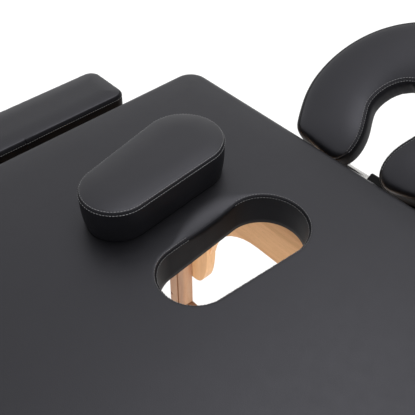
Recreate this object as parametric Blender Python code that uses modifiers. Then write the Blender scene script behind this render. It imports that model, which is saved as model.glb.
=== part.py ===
"""Folding massage table: two padded halves on folding wooden legs, headrest, armrests and hole plug.

Metres, +Z up. +X points to the head end and +Y to the left side. The origin is on the floor, at the
centre of the whole footprint. The legs stand at their lowest setting.
"""
import math

import bmesh
import bpy
from mathutils import Matrix, Vector

# Clearances
FIT = 0.0003
RUNNING_FIT = 0.0005
FOLD_GAP = 0.0015

# Padded top
TABLE_LENGTH = 1.86
TABLE_WIDTH = 0.712
TABLE_HEIGHT = 0.62
PAD_THICK = 0.045
PAD_CORNER = 0.032
PAD_FOLD_CORNER = 0.010
PAD_EDGE_ROUND = 0.009
PAD_DRAW_IN = 0.005
PAD_CROWN = 0.002
PAD_CROWN_REACH = 0.055
BOARD_THICK = 0.006
BOARD_INSET = 0.004

# Face hole: straight sides between round ends, wider by the taper at its head end and narrower at the other
HOLE_FROM_HEAD = 0.2396
HOLE_FROM_CENTRE = 0.0038
HOLE_LENGTH = 0.2286
HOLE_WIDTH = 0.106
HOLE_TAPER = 0.0045
HOLE_RIM_ROUND = 0.008
HOLE_FLAT = 0.015

# Wooden frame under each half
RAIL_INSET = 0.005
RAIL_THICK = 0.014
RAIL_DEPTH = 0.080
RAIL_BEVEL = 0.002

# Piano hinge at the fold
HINGE_INSET = 0.046
HINGE_KNUCKLES = 6
BARREL_RADIUS = 0.0042
HINGE_PIN_RADIUS = 0.0018
LEAF_THICK = 0.0016

# Legs
LEG_RAIL_GAP = 0.033
LEG_PIVOT_DROP = 0.040
AXLE_RADIUS = 0.004
UPPER_LEG_THICK = 0.022
UPPER_LEG_WIDTH = 0.1005
UPPER_LEG_TOP = 0.020
UPPER_LEG_CORNER = 0.018
UPPER_LEG_SWEEP = 0.0425
UPPER_LEG_SWEEP_RISE = 0.115
UPPER_LEG_SWEEP_POWER = 2.6
LEG_BEVEL = 0.002
ARCH_THICK = 0.016
ARCH_TOP_GAP = 0.008
ARCH_DEPTH = 0.111
ARCH_FLAT = 0.23
ARCH_RISE = 0.145
LOWER_LEG_THICK = 0.020
LOWER_LEG_WIDTH = 0.056
LOWER_LEG_ROUND = 0.008
LOWER_LEG_TOP_DROP = 0.023
LOWER_LEG_HEAD = 0.015
LEG_TRAVEL = 0.165
BOLT_RADIUS = 0.004
BOLT_PITCH = 0.075
LOWER_BOLT_RISE = 0.057
LEG_GROOVE_FROM_EDGE = 0.0222
LEG_GROOVE_WIDTH = 0.005
LEG_GROOVE_DEPTH = 0.003
LEG_GROOVE_STOP = 0.012
STOP_HOLE_RADIUS = 0.004
STOP_HOLE_HEIGHT = 0.108
STOP_HOLE_EDGE = 0.008
STRETCHER_HEIGHT = 0.112
STRETCHER_DEPTH = 0.045
STRETCHER_THICK = 0.018
RUBBER_THICK = 0.010
RUBBER_LIP = 0.0006
KNOB_RADIUS = 0.018
KNOB_LOBE = 0.002
KNOB_LOBES = 5
KNOB_THICK = 0.015
KNOB_BEVEL = 0.002

# Headrest: a horseshoe cushion on a plate, clamped to a cross tube with two prongs
HEADREST_GAP = 0.0155
HEADREST_TILT = math.radians(31.5)
TUBE_RADIUS = 0.0125
TUBE_END = 0.020
PRONG_RADIUS = 0.006
PRONG_SPACING = 0.21
PRONG_OVER_AXLE = 0.003
PRONG_DEPTH = 0.12
CLAMP_WALL = 0.003
CLAMP_BEVEL = 0.002
CLAMP_PRONG_GAP = 0.009
LEFT_CLAMP_LENGTH = 0.040
LOCK_EDGE = 0.004
PLATE_THICK = 0.0045
PLATE_HALF_WIDTH = 0.028
PLATE_START = 0.004
CUSHION_THICK = 0.050
CUSHION_HALF_WIDTH = 0.057
CUSHION_CROWN = 0.004
CUSHION_SHIFT = 0.0055
CUSHION_TURN = math.radians(2.6)
SPINE_CENTRE = 0.100
SPINE_FAR = 0.110
SPINE_NEAR = 0.106
SPINE_SIDE = 0.1005
TIP_DRAW = 0.031
TIP_LENGTH = 0.053
TIP_LEAN = 0.28
TIP_HEIGHT = 0.030
TIP_FULLNESS = 2.35
LEVER_LENGTH = 0.055
LEVER_THICK = 0.008
LEVER_WIDTH = 0.024
LEVER_PIN_RADIUS = 0.0022
LUG_THICK = 0.005

# Plug of the face hole, a little larger than the hole, lying on the pad
PLUG_SQUEEZE = 0.001
PLUG_LONGER = 0.0064
PLUG_THICK = 0.060
PLUG_FROM_HEAD = 0.2488
PLUG_FROM_CENTRE = 0.1533
PLUG_TURN = math.radians(8.2)
PLUG_EDGE_ROUND = 0.006
PLUG_DRAW_IN = 0.004
PLUG_CROWN = 0.004
PLUG_CROWN_REACH = 0.040

# Armrests
ARM_LENGTH = 0.50
ARM_WIDTH = 0.095
ARM_THICK = 0.050
ARM_GAP = 0.0185
ARM_FROM_HEAD = 0.128
ARM_CORNER = 0.020
ARM_EDGE_ROUND = 0.008
ARM_DRAW_IN = 0.004
ARM_CROWN = 0.003
ARM_CROWN_REACH = 0.032
ARM_BOARD_THICK = 0.006
ARM_BOARD_INSET = 0.006
ARM_ROD_RADIUS = 0.005
ARM_ROD_DROP = 0.010
ARM_ROD_SPACING = 0.20
ARM_ROD_BEND = 0.020

# Latches on the side rails and carry straps on the right-hand rails
LATCH_FROM_AXLE = 0.020
LATCH_RISE = 0.027
LATCH_THICK = 0.0025
LATCH_WIDTH = 0.018
LATCH_TAIL = 0.012
LATCH_PIN_RADIUS = 0.003
LATCH_PIN_DEPTH = 0.008
STUD_RADIUS = 0.004
STUD_REACH = 0.0045
STRAP_FROM_FOLD = 0.19
STRAP_LENGTH = 0.18
STRAP_TAB = 0.028
STRAP_STAND_OFF = 0.026
STRAP_THICK = 0.004
STRAP_HEIGHT = 0.030

# Facets
ARC_STEPS = 5
SWEEP_STEPS = 12
EDGE_STEPS = 13
ARM_EDGE_STEPS = 2
ROUND_STEPS = 3
CROWN_STEPS = 2
HOLE_STEPS = 40
ROD_SIDES = 16
SECTION_POINTS = 16
SECTION_POWER = 0.5
SPINE_STEPS = 20
TIP_STEPS = 4
PLATE_STEPS = 32
TIGHT_CORNER = 0.002
HOLE_TOLERANCE = 0.0000001
SPINE_NUDGE = 0.001
WELD_DISTANCE = 0.00001
SHARP_ANGLE = math.radians(40.0)

# Levels and places worked out from the sizes above
PAD_BOTTOM = TABLE_HEIGHT - PAD_THICK
BOARD_TOP = PAD_BOTTOM - FIT
BOARD_BOTTOM = BOARD_TOP - BOARD_THICK
RAIL_TOP = BOARD_BOTTOM - FIT
RAIL_BOTTOM = RAIL_TOP - RAIL_DEPTH
FOLD_Z = RAIL_BOTTOM - FIT - BARREL_RADIUS
HALF_LENGTH = TABLE_LENGTH / 2
HALF_WIDTH = TABLE_WIDTH / 2
RAIL_OUTER = HALF_WIDTH - RAIL_INSET
RAIL_INNER = RAIL_OUTER - RAIL_THICK
HINGE_HALF = RAIL_OUTER - HINGE_INSET
UPPER_LEG_FACE = UPPER_LEG_THICK / 2
LOWER_LEG_FACE = UPPER_LEG_FACE + FIT + LOWER_LEG_THICK
LEG_FROM_FOLD = HALF_LENGTH - RAIL_INSET - RAIL_THICK - LEG_RAIL_GAP - UPPER_LEG_FACE
LEG_PIVOT_Z = RAIL_TOP - LEG_PIVOT_DROP
LEG_OUTER = RAIL_INNER - 2 * RUNNING_FIT
UPPER_LEG_INNER = LEG_OUTER - UPPER_LEG_WIDTH
LOWER_LEG_INNER = LEG_OUTER - LOWER_LEG_WIDTH
LOWER_LEG_TOP = LEG_PIVOT_Z - LOWER_LEG_TOP_DROP
SLOT_HALF = BOLT_RADIUS + RUNNING_FIT
SLOT_TOP = LOWER_LEG_TOP - LOWER_LEG_HEAD
UPPER_BOLT_Z = SLOT_TOP - SLOT_HALF - LEG_TRAVEL
LOWER_BOLT_Z = UPPER_BOLT_Z - BOLT_PITCH
SLOT_BOTTOM = LOWER_BOLT_Z - SLOT_HALF
UPPER_LEG_BOTTOM = LOWER_BOLT_Z - LOWER_BOLT_RISE
BOLT_Y = (LEG_OUTER + LOWER_LEG_INNER) / 2
PRONG_Z = LEG_PIVOT_Z + AXLE_RADIUS + PRONG_OVER_AXLE + PRONG_RADIUS
TUBE_Z = PRONG_Z + TUBE_RADIUS
TUBE_HALF = PRONG_SPACING / 2 + TUBE_END
CLAMP_HALF = TUBE_RADIUS + CLAMP_WALL
CLAMP_END = PRONG_SPACING / 2 - PRONG_RADIUS - CLAMP_PRONG_GAP
PLATE_BOTTOM = CLAMP_HALF + FIT
CUSHION_BOTTOM = PLATE_BOTTOM + PLATE_THICK + FIT
ARM_ROD_Z = RAIL_TOP - ARM_ROD_DROP
ARM_BOARD_BOTTOM = ARM_ROD_Z + ARM_ROD_RADIUS + FIT
ARM_BOTTOM = ARM_BOARD_BOTTOM + ARM_BOARD_THICK + FIT
ARM_Y = HALF_WIDTH + ARM_GAP + ARM_WIDTH / 2
LATCH_FROM_FOLD = LEG_FROM_FOLD - LATCH_FROM_AXLE
LATCH_Z = RAIL_BOTTOM + LATCH_RISE
HANDS = (("left", 1), ("right", -1))

for leftover in list(bpy.data.objects):
    bpy.data.objects.remove(leftover)
TABLE = bpy.data.collections.new("folding_massage_table")
CUTTERS = bpy.data.collections.new("cutters")
bpy.context.scene.collection.children.link(TABLE)
bpy.context.scene.collection.children.link(CUTTERS)


def make_material(name, colour, roughness, metallic=0.0):
    material = bpy.data.materials.new(name)
    material.use_nodes = True
    shader = material.node_tree.nodes["Principled BSDF"]
    shader.inputs["Base Color"].default_value = (*colour, 1.0)
    shader.inputs["Roughness"].default_value = roughness
    shader.inputs["Metallic"].default_value = metallic
    return material


LEATHER = make_material("leather", (0.020, 0.020, 0.022), 0.45)
PLYWOOD = make_material("plywood", (0.55, 0.40, 0.25), 0.60)
BEECH = make_material("beech", (0.60, 0.37, 0.19), 0.50)
RED_BEECH = make_material("red_beech", (0.42, 0.20, 0.11), 0.50)
STEEL = make_material("steel", (0.55, 0.55, 0.56), 0.30, 1.0)
ALUMINIUM = make_material("aluminium", (0.75, 0.75, 0.76), 0.28, 1.0)
PLASTIC = make_material("plastic", (0.015, 0.015, 0.016), 0.40)
RUBBER = make_material("rubber", (0.020, 0.020, 0.020), 0.80)
WEBBING = make_material("webbing", (0.018, 0.018, 0.020), 0.85)


def swung(point, swing):
    """Turn a point about the swing's centre, lifting the +X side."""
    if swing is None:
        return Vector(point)
    centre, angle = swing
    return Vector(centre) + Matrix.Rotation(-angle, 3, "Y") @ (Vector(point) - Vector(centre))


def put(name, mesh, collection, origin, swing):
    """Add a mesh drawn in place, with its own origin, turned as its swing says."""
    mesh.transform(Matrix.Translation(-Vector(origin)))
    mesh.shade_smooth()
    mesh.set_sharp_from_angle(angle=SHARP_ANGLE)
    item = bpy.data.objects.new(name, mesh)
    item.location = swung(origin, swing)
    if swing is not None:
        item.rotation_euler[1] = -swing[1]
    collection.objects.link(item)
    return item


def add(name, mesh, material, origin=(0.0, 0.0, 0.0), swing=None):
    item = put(name, mesh, TABLE, origin, swing)
    item.data.materials.append(material)
    return item


def shape(item, mesh, operation, swing=None):
    """Cut a mesh from a piece or join a mesh to it, with a hidden helper object."""
    origin = (0.0, 0.0, 0.0) if swing is None else swing[0]
    helper = put(f"{item.name}_{operation.lower()}", mesh, CUTTERS, origin, swing)
    helper.hide_render = True
    helper.display_type = "WIRE"
    boolean = item.modifiers.new(operation.title(), "BOOLEAN")
    boolean.operation = operation
    boolean.solver = "EXACT"
    boolean.object = helper


def round_edges(item, width, segments=2):
    bevel = item.modifiers.new("Bevel", "BEVEL")
    bevel.width = width
    bevel.segments = segments
    bevel.limit_method = "ANGLE"
    bevel.angle_limit = SHARP_ANGLE
    bevel.use_clamp_overlap = True


def mesh_from(bm, name="shape"):
    bmesh.ops.recalc_face_normals(bm, faces=bm.faces)
    mesh = bpy.data.meshes.new(name)
    bm.to_mesh(mesh)
    bm.free()
    return mesh


def boxes_mesh(*spans):
    """One or more boxes, each given by two opposite corners."""
    bm = bmesh.new()
    for corner, opposite in spans:
        size = [abs(b - a) for a, b in zip(corner, opposite)]
        centre = [(a + b) / 2 for a, b in zip(corner, opposite)]
        matrix = Matrix.Translation(centre) @ Matrix.Diagonal((*size, 1.0))
        bmesh.ops.create_cube(bm, size=1.0, matrix=matrix)
    return mesh_from(bm)


def rods_mesh(*rods, sides=ROD_SIDES):
    """One or more round rods, each given by its two ends and its radius."""
    bm = bmesh.new()
    for start, end, radius in rods:
        run = Vector(end) - Vector(start)
        middle = (Vector(start) + Vector(end)) / 2
        matrix = Matrix.Translation(middle) @ run.to_track_quat("Z", "Y").to_matrix().to_4x4()
        bmesh.ops.create_cone(bm, cap_ends=True, segments=sides, radius1=radius, radius2=radius,
                              depth=run.length, matrix=matrix)
    return mesh_from(bm)


def curve_mesh(curve):
    holder = bpy.data.objects.new("curve", curve)
    CUTTERS.objects.link(holder)
    evaluated = holder.evaluated_get(bpy.context.evaluated_depsgraph_get())
    mesh = bpy.data.meshes.new_from_object(evaluated)
    bpy.data.objects.remove(holder)
    bpy.data.curves.remove(curve)
    bm = bmesh.new()
    bm.from_mesh(mesh)
    bpy.data.meshes.remove(mesh)
    bmesh.ops.remove_doubles(bm, verts=bm.verts, dist=WELD_DISTANCE)
    return mesh_from(bm)


def flat_mesh(outlines, thick, matrix):
    """A flat outline with holes, drawn in the matrix's first two axes and thick along its third."""
    curve = bpy.data.curves.new("outline", "CURVE")
    curve.dimensions = "2D"
    curve.fill_mode = "BOTH"
    curve.extrude = thick / 2
    for outline in outlines:
        spline = curve.splines.new("POLY")
        spline.points.add(len(outline) - 1)
        for point, (across, up) in zip(spline.points, outline):
            point.co = (across, up, 0.0, 1.0)
        spline.use_cyclic_u = True
    mesh = curve_mesh(curve)
    mesh.transform(matrix)
    return mesh


def facing_x(x):
    """Outline axes (Y, Z), thick along X, at the given X."""
    return Matrix(((0, 0, 1, x), (1, 0, 0, 0), (0, 1, 0, 0), (0, 0, 0, 1)))


def facing_y(y):
    """Outline axes (X, Z), thick along Y, at the given Y."""
    return Matrix(((1, 0, 0, 0), (0, 0, -1, y), (0, 1, 0, 0), (0, 0, 0, 1)))


def facing_z(z):
    """Outline axes (X, Y), thick along Z, at the given Z."""
    return Matrix.Translation((0.0, 0.0, z))


def loft_mesh(rings, closed=False):
    """Skin a row of rings of equally many points, closed on itself or with flat ends."""
    bm = bmesh.new()
    loops = [[bm.verts.new(point) for point in ring] for ring in rings]
    pairs = list(zip(loops, loops[1:]))
    if closed:
        pairs.append((loops[-1], loops[0]))
    else:
        bm.faces.new(loops[0])
        bm.faces.new(loops[-1])
    for lower, upper in pairs:
        for index in range(len(lower)):
            bm.faces.new((lower[index - 1], lower[index], upper[index], upper[index - 1]))
    return mesh_from(bm)


def rounded_outline(low, high, radii, inset=0.0, edge_steps=0):
    """Points round a rectangle with rounded corners, drawn in by the inset, from its +X +Y corner."""
    arcs = []
    for index, (signs, radius) in enumerate(zip(((1, 1), (-1, 1), (-1, -1), (1, -1)), radii)):
        corner = Vector([high[axis] if sign > 0 else low[axis] for axis, sign in enumerate(signs)])
        left = max(radius - inset, min(radius, TIGHT_CORNER))
        centre = corner - Vector(signs) * (inset + left)
        angles = [math.pi / 2 * (index + step / ARC_STEPS) for step in range(ARC_STEPS + 1)]
        arcs.append([centre + left * Vector((math.cos(angle), math.sin(angle))) for angle in angles])
    points = []
    for arc, following in zip(arcs, arcs[1:] + arcs[:1]):
        points += arc
        points += [arc[-1].lerp(following[0], step / (edge_steps + 1)) for step in range(1, edge_steps + 1)]
    return points


def swollen(value, power):
    """A cosine or sine drawn outward, so that a curve of them is fuller than an ellipse above power 2."""
    return math.copysign(abs(value) ** (2 / power), value)


def quarter_ellipse(centre, reach, rise, first, steps, power=2.0):
    """Points over a quarter turn round an ellipse's centre, from the first angle on."""
    points = []
    for step in range(steps + 1):
        angle = first + math.pi / 2 * step / steps
        across, up = swollen(math.cos(angle), power), swollen(math.sin(angle), power)
        points.append((centre[0] + reach * across, centre[1] + rise * up))
    return points


def cushion_profile(thick, edge_round, draw_in, crown, crown_reach):
    """(inset, height) pairs up a cushion's side, drawn in below, round its top edge and over its crown."""
    shoulder = thick - crown - edge_round
    profile = [(draw_in, 0.0), (draw_in / 4, shoulder / 3), (0.0, shoulder)]
    for step in range(1, ROUND_STEPS + 1):
        angle = math.pi / 2 * step / ROUND_STEPS
        profile.append((edge_round * (1 - math.cos(angle)), shoulder + edge_round * math.sin(angle)))
    for step in range(1, CROWN_STEPS + 1):
        share = step / CROWN_STEPS
        inset = edge_round + (crown_reach - edge_round) * share
        profile.append((inset, thick - crown + crown * math.sin(math.pi / 2 * share)))
    return profile


def cushion_rings(low, high, radii, profile, bottom, edge_steps):
    rings = []
    for inset, height in profile:
        points = rounded_outline(low, high, radii, inset, edge_steps)
        rings.append([(point.x, point.y, bottom + height) for point in points])
    return rings


def in_hole(spot, grow, longer):
    """Whether a spot, relative to the face hole's middle, lies in the hole, grown and made longer."""
    straight = (HOLE_LENGTH + longer - HOLE_WIDTH) / 2
    along = max(-straight, min(spot.x, straight))
    radius = HOLE_WIDTH / 2 + HOLE_TAPER * along / straight + grow
    return math.hypot(spot.x - along, spot.y) < radius


def hole_point(direction, grow=0.0, longer=0.0):
    """Where a ray from the face hole's middle crosses its edge, relative to that middle."""
    near, far = 0.0, HOLE_LENGTH
    while far - near > HOLE_TOLERANCE:
        reach = (near + far) / 2
        near, far = (reach, far) if in_hole(direction * reach, grow, longer) else (near, reach)
    return direction * near


def spine_point(angle):
    """Middle line of the horseshoe headrest in plan, from the tube's axis; angle 0 is its far end.

    The far half is a half ellipse. Past a quarter turn each side runs on towards the table, drawn in.
    """
    past = SPINE_FAR * max(abs(angle) - math.pi / 2, 0.0)
    if past > 0:
        draw = TIP_DRAW * math.sin(math.pi / 2 * past / SPINE_NEAR) ** 2
        return Vector((SPINE_CENTRE - past, math.copysign(SPINE_SIDE - draw, angle)))
    return Vector((SPINE_CENTRE + SPINE_FAR * math.cos(angle), SPINE_SIDE * math.sin(angle)))


def spine_across(angle):
    """Unit vector across the horseshoe's middle line, pointing outward."""
    run = (spine_point(angle + SPINE_NUDGE) - spine_point(angle - SPINE_NUDGE)).normalized()
    return Vector((run.y, -run.x))


def horseshoe_rings():
    """Sections of the headrest cushion from its left tip round to its right one, from the tube's axis."""
    spine_end = math.pi / 2 + SPINE_NEAR / SPINE_FAR
    tip_span = TIP_LENGTH / SPINE_FAR
    quarter = math.pi / 2 / (TIP_STEPS + 1)
    tips = [spine_end - tip_span * (1 - math.cos(quarter * step)) for step in range(1, TIP_STEPS + 1)]
    body_end = spine_end - tip_span
    body = [body_end * (1 - 2 * step / SPINE_STEPS) for step in range(SPINE_STEPS + 1)]
    rings = []
    for angle in tips + body + [-tip for tip in reversed(tips)]:
        share = min((spine_end - abs(angle)) / tip_span, 1.0)
        fullness = (1 - (1 - share) ** TIP_FULLNESS) ** (1 / TIP_FULLNESS)
        half_width = CUSHION_HALF_WIDTH * fullness
        lean = TIP_LEAN * (CUSHION_HALF_WIDTH - half_width)
        height = TIP_HEIGHT + (CUSHION_THICK - TIP_HEIGHT) * fullness - CUSHION_CROWN
        ring = []
        for index in range(SECTION_POINTS):
            turn = 2 * math.pi * index / SECTION_POINTS
            side = math.copysign(abs(math.cos(turn)) ** SECTION_POWER, math.cos(turn))
            rise = math.copysign(abs(math.sin(turn)) ** SECTION_POWER, math.sin(turn))
            crown = CUSHION_CROWN * (1 - side ** 2) if rise > 0 else 0.0
            spot = spine_point(angle) + spine_across(angle) * (side * half_width - lean)
            spot = Matrix.Rotation(CUSHION_TURN, 2) @ spot + Vector((0.0, CUSHION_SHIFT))
            ring.append((spot.x, spot.y, CUSHION_BOTTOM + height * (1 + rise) / 2 + crown))
        rings.append(ring)
    return rings


HEADREST_RINGS = horseshoe_rings()
HEADREST_SPREAD = [x * math.cos(HEADREST_TILT) - z * math.sin(HEADREST_TILT)
                   for ring in HEADREST_RINGS for x, _, z in ring]
TUBE_REACH = HEADREST_GAP - min(HEADREST_SPREAD)
HEADREST_REACH = TUBE_REACH + max(HEADREST_SPREAD)
FOLD_X = -HEADREST_REACH / 2
HEAD_X = FOLD_X + HALF_LENGTH
HOLE_CENTRE = Vector((HEAD_X - HOLE_FROM_HEAD, HOLE_FROM_CENTRE))
FOLD_AXIS = (FOLD_X, 0.0, FOLD_Z)
TUBE_AXIS = (HEAD_X + TUBE_REACH, 0.0, TUBE_Z)
TILTED = (TUBE_AXIS, HEADREST_TILT)
HALVES = (("head", 1, FOLD_AXIS), ("foot", -1, (FOLD_X, 0.0, 0.0)))


def span(side, near, far):
    """X range between two distances from the fold line, towards the head (1) or foot (-1) end."""
    ends = (FOLD_X + side * near, FOLD_X + side * far)
    return min(ends), max(ends)


def add_pad(end, side, origin):
    low_x, high_x = span(side, FOLD_GAP, HALF_LENGTH)
    radii = [PAD_CORNER if x_sign == side else PAD_FOLD_CORNER for x_sign in (1, -1, -1, 1)]
    low, high = (low_x, -HALF_WIDTH), (high_x, HALF_WIDTH)
    profile = cushion_profile(PAD_THICK, PAD_EDGE_ROUND, PAD_DRAW_IN, PAD_CROWN, PAD_CROWN_REACH)
    rings = cushion_rings(low, high, radii, profile, PAD_BOTTOM, EDGE_STEPS)
    if end == "head":
        edge = rounded_outline(low, high, radii, 0.0, EDGE_STEPS)
        directions = [(point - HOLE_CENTRE).normalized() for point in edge]
        rim = [(HOLE_RIM_ROUND + HOLE_FLAT, 0.0)]
        for step in range(ROUND_STEPS + 1):
            angle = math.pi / 2 * step / ROUND_STEPS
            rim.append((HOLE_RIM_ROUND * (1 - math.sin(angle)), HOLE_RIM_ROUND * (1 - math.cos(angle))))
        rim.append((0.0, PAD_THICK))
        for grow, drop in rim:
            spots = [HOLE_CENTRE + hole_point(direction, grow) for direction in directions]
            rings.append([(spot.x, spot.y, TABLE_HEIGHT - drop) for spot in spots])
    add(f"{end}_pad", loft_mesh(rings, closed=end == "head"), LEATHER, origin)


def add_board(end, side, origin):
    low_x, high_x = span(side, FOLD_GAP + BOARD_INSET, HALF_LENGTH - BOARD_INSET)
    half = HALF_WIDTH - BOARD_INSET
    corner = PAD_CORNER - BOARD_INSET
    radii = [corner if x_sign == side else PAD_FOLD_CORNER for x_sign in (1, -1, -1, 1)]
    outlines = [rounded_outline((low_x, -half), (high_x, half), radii)]
    if end == "head":
        turns = [2 * math.pi * step / HOLE_STEPS for step in range(HOLE_STEPS)]
        directions = [Vector((math.cos(turn), math.sin(turn))) for turn in turns]
        outlines.append([HOLE_CENTRE + hole_point(direction) for direction in directions])
    add(f"{end}_base_board", flat_mesh(outlines, BOARD_THICK, facing_z((BOARD_TOP + BOARD_BOTTOM) / 2)),
        PLYWOOD, origin)


def add_rails(end, side, origin):
    low_x, high_x = span(side, FOLD_GAP, HALF_LENGTH - RAIL_INSET)
    axle_x = FOLD_X + side * LEG_FROM_FOLD
    latch_x = FOLD_X + side * LATCH_FROM_FOLD
    for hand, sign in HANDS:
        rail = add(f"{end}_side_rail_{hand}",
                   boxes_mesh(((low_x, sign * RAIL_INNER, RAIL_BOTTOM),
                               (high_x, sign * RAIL_OUTER, RAIL_TOP))), BEECH, origin)
        round_edges(rail, RAIL_BEVEL)
        inside = sign * (RAIL_INNER - RAIL_THICK)
        outside = sign * (RAIL_OUTER + RAIL_THICK)
        latch_seat = sign * (RAIL_OUTER - LATCH_PIN_DEPTH - FIT)
        latch_radius = (LATCH_PIN_RADIUS if end == "head" else STUD_RADIUS) + FIT
        bores = [((axle_x, inside, LEG_PIVOT_Z), (axle_x, outside, LEG_PIVOT_Z), AXLE_RADIUS + FIT),
                 ((latch_x, latch_seat, LATCH_Z), (latch_x, outside, LATCH_Z), latch_radius)]
        if end == "head":
            for rod_x in arm_rod_places():
                bores.append(((rod_x, inside, ARM_ROD_Z), (rod_x, outside, ARM_ROD_Z), ARM_ROD_RADIUS + FIT))
        shape(rail, rods_mesh(*bores), "DIFFERENCE")
    across = RAIL_INNER - FIT
    end_x = span(side, HALF_LENGTH - RAIL_INSET - RAIL_THICK, HALF_LENGTH - RAIL_INSET)
    end_rail = add(f"{end}_end_rail",
                   boxes_mesh(((end_x[0], -across, RAIL_BOTTOM), (end_x[1], across, RAIL_TOP))),
                   BEECH, origin)
    round_edges(end_rail, RAIL_BEVEL)
    if end == "head":
        bores = []
        for _, sign in HANDS:
            y = sign * PRONG_SPACING / 2
            bores.append(((end_x[0] - RAIL_THICK, y, PRONG_Z), (end_x[1] + RAIL_THICK, y, PRONG_Z),
                          PRONG_RADIUS + FIT))
        shape(end_rail, rods_mesh(*bores), "DIFFERENCE")
    fold_x = span(side, FOLD_GAP, FOLD_GAP + RAIL_THICK)
    fold_rail = add(f"{end}_fold_rail",
                    boxes_mesh(((fold_x[0], -across, RAIL_BOTTOM), (fold_x[1], across, RAIL_TOP))),
                    BEECH, origin)
    round_edges(fold_rail, RAIL_BEVEL)


def add_hinge():
    step = 2 * HINGE_HALF / HINGE_KNUCKLES
    edge = BARREL_RADIUS + RUNNING_FIT
    top = FOLD_Z + BARREL_RADIUS
    for end, side, origin in HALVES:
        plate_x = span(side, edge, FOLD_GAP + RAIL_THICK)
        tab_x = span(side, 0.0, edge + LEAF_THICK)
        leaf = add(f"fold_hinge_leaf_{end}",
                   boxes_mesh(((plate_x[0], -HINGE_HALF, top - LEAF_THICK), (plate_x[1], HINGE_HALF, top))),
                   STEEL, origin)
        barrels, tabs = [], []
        for knuckle in range(0 if end == "head" else 1, HINGE_KNUCKLES, 2):
            start = -HINGE_HALF + knuckle * step + FIT / 2
            stop = start + step - FIT
            barrels.append(((FOLD_X, start, FOLD_Z), (FOLD_X, stop, FOLD_Z), BARREL_RADIUS))
            tabs.append(((tab_x[0], start, top - LEAF_THICK), (tab_x[1], stop, top)))
        shape(leaf, boxes_mesh(*tabs), "UNION")
        shape(leaf, rods_mesh(*barrels), "UNION")
        bore_half = HINGE_HALF + RAIL_THICK
        bore = ((FOLD_X, -bore_half, FOLD_Z), (FOLD_X, bore_half, FOLD_Z), HINGE_PIN_RADIUS + FIT)
        shape(leaf, rods_mesh(bore), "DIFFERENCE")
    pin = ((FOLD_X, -HINGE_HALF, FOLD_Z), (FOLD_X, HINGE_HALF, FOLD_Z), HINGE_PIN_RADIUS)
    add("fold_hinge_pin", rods_mesh(pin), STEEL, FOLD_AXIS)


def add_upper_legs(end, pivot):
    """Boards with rounded corners, whose inner edges sweep out to their lower ends."""
    corner = UPPER_LEG_CORNER
    sweep = min(UPPER_LEG_SWEEP, UPPER_LEG_WIDTH - corner - TIGHT_CORNER)
    side, high, low = LEG_OUTER - corner, LEG_PIVOT_Z + UPPER_LEG_TOP - corner, UPPER_LEG_BOTTOM
    outline = [*quarter_ellipse((side, high), corner, corner, 0.0, ARC_STEPS),
               *quarter_ellipse((UPPER_LEG_INNER + corner, high), corner, corner, math.pi / 2, ARC_STEPS),
               *quarter_ellipse((UPPER_LEG_INNER + sweep, low + UPPER_LEG_SWEEP_RISE), sweep,
                                UPPER_LEG_SWEEP_RISE, math.pi, SWEEP_STEPS, UPPER_LEG_SWEEP_POWER),
               *quarter_ellipse((side, low + corner), corner, corner, 3 * math.pi / 2, ARC_STEPS)]
    reach = UPPER_LEG_THICK
    for hand, sign in HANDS:
        board = [(sign * y, z) for y, z in outline]
        leg = add(f"{end}_upper_leg_{hand}", flat_mesh([board], UPPER_LEG_THICK, facing_x(pivot[0])),
                  BEECH, pivot)
        round_edges(leg, LEG_BEVEL, 1)
        axle_end = (pivot[0], sign * HALF_WIDTH, LEG_PIVOT_Z)
        bores = [((pivot[0], 0.0, LEG_PIVOT_Z), axle_end, AXLE_RADIUS + FIT)]
        y = sign * BOLT_Y
        for z in (UPPER_BOLT_Z, LOWER_BOLT_Z):
            bores.append(((pivot[0] - reach, y, z), (pivot[0] + reach, y, z), BOLT_RADIUS + FIT))
        shape(leg, rods_mesh(*bores), "DIFFERENCE")


def add_leg_arch(end, side, pivot):
    """Board between the upper legs, whose lower edge sweeps down into them in quarter ellipses."""
    half = UPPER_LEG_INNER - FIT
    top = LEG_PIVOT_Z - AXLE_RADIUS - ARCH_TOP_GAP
    flat = ARCH_FLAT / 2
    reach = UPPER_LEG_INNER + LEG_BEVEL - flat
    ellipse_z = top - ARCH_DEPTH - ARCH_RISE
    first = math.acos((half - flat) / reach)
    steps = 2 * ARC_STEPS
    sweep = []
    for step in range(steps + 1):
        angle = first + (math.pi / 2 - first) * step / steps
        sweep.append((flat + reach * math.cos(angle), ellipse_z + ARCH_RISE * math.sin(angle)))
    outline = [(-half, top), *[(-y, z) for y, z in sweep], *reversed(sweep), (half, top)]
    middle = pivot[0] + side * (UPPER_LEG_FACE - ARCH_THICK / 2)
    add(f"{end}_leg_arch", flat_mesh([outline], ARCH_THICK, facing_x(middle)), BEECH, pivot)


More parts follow.
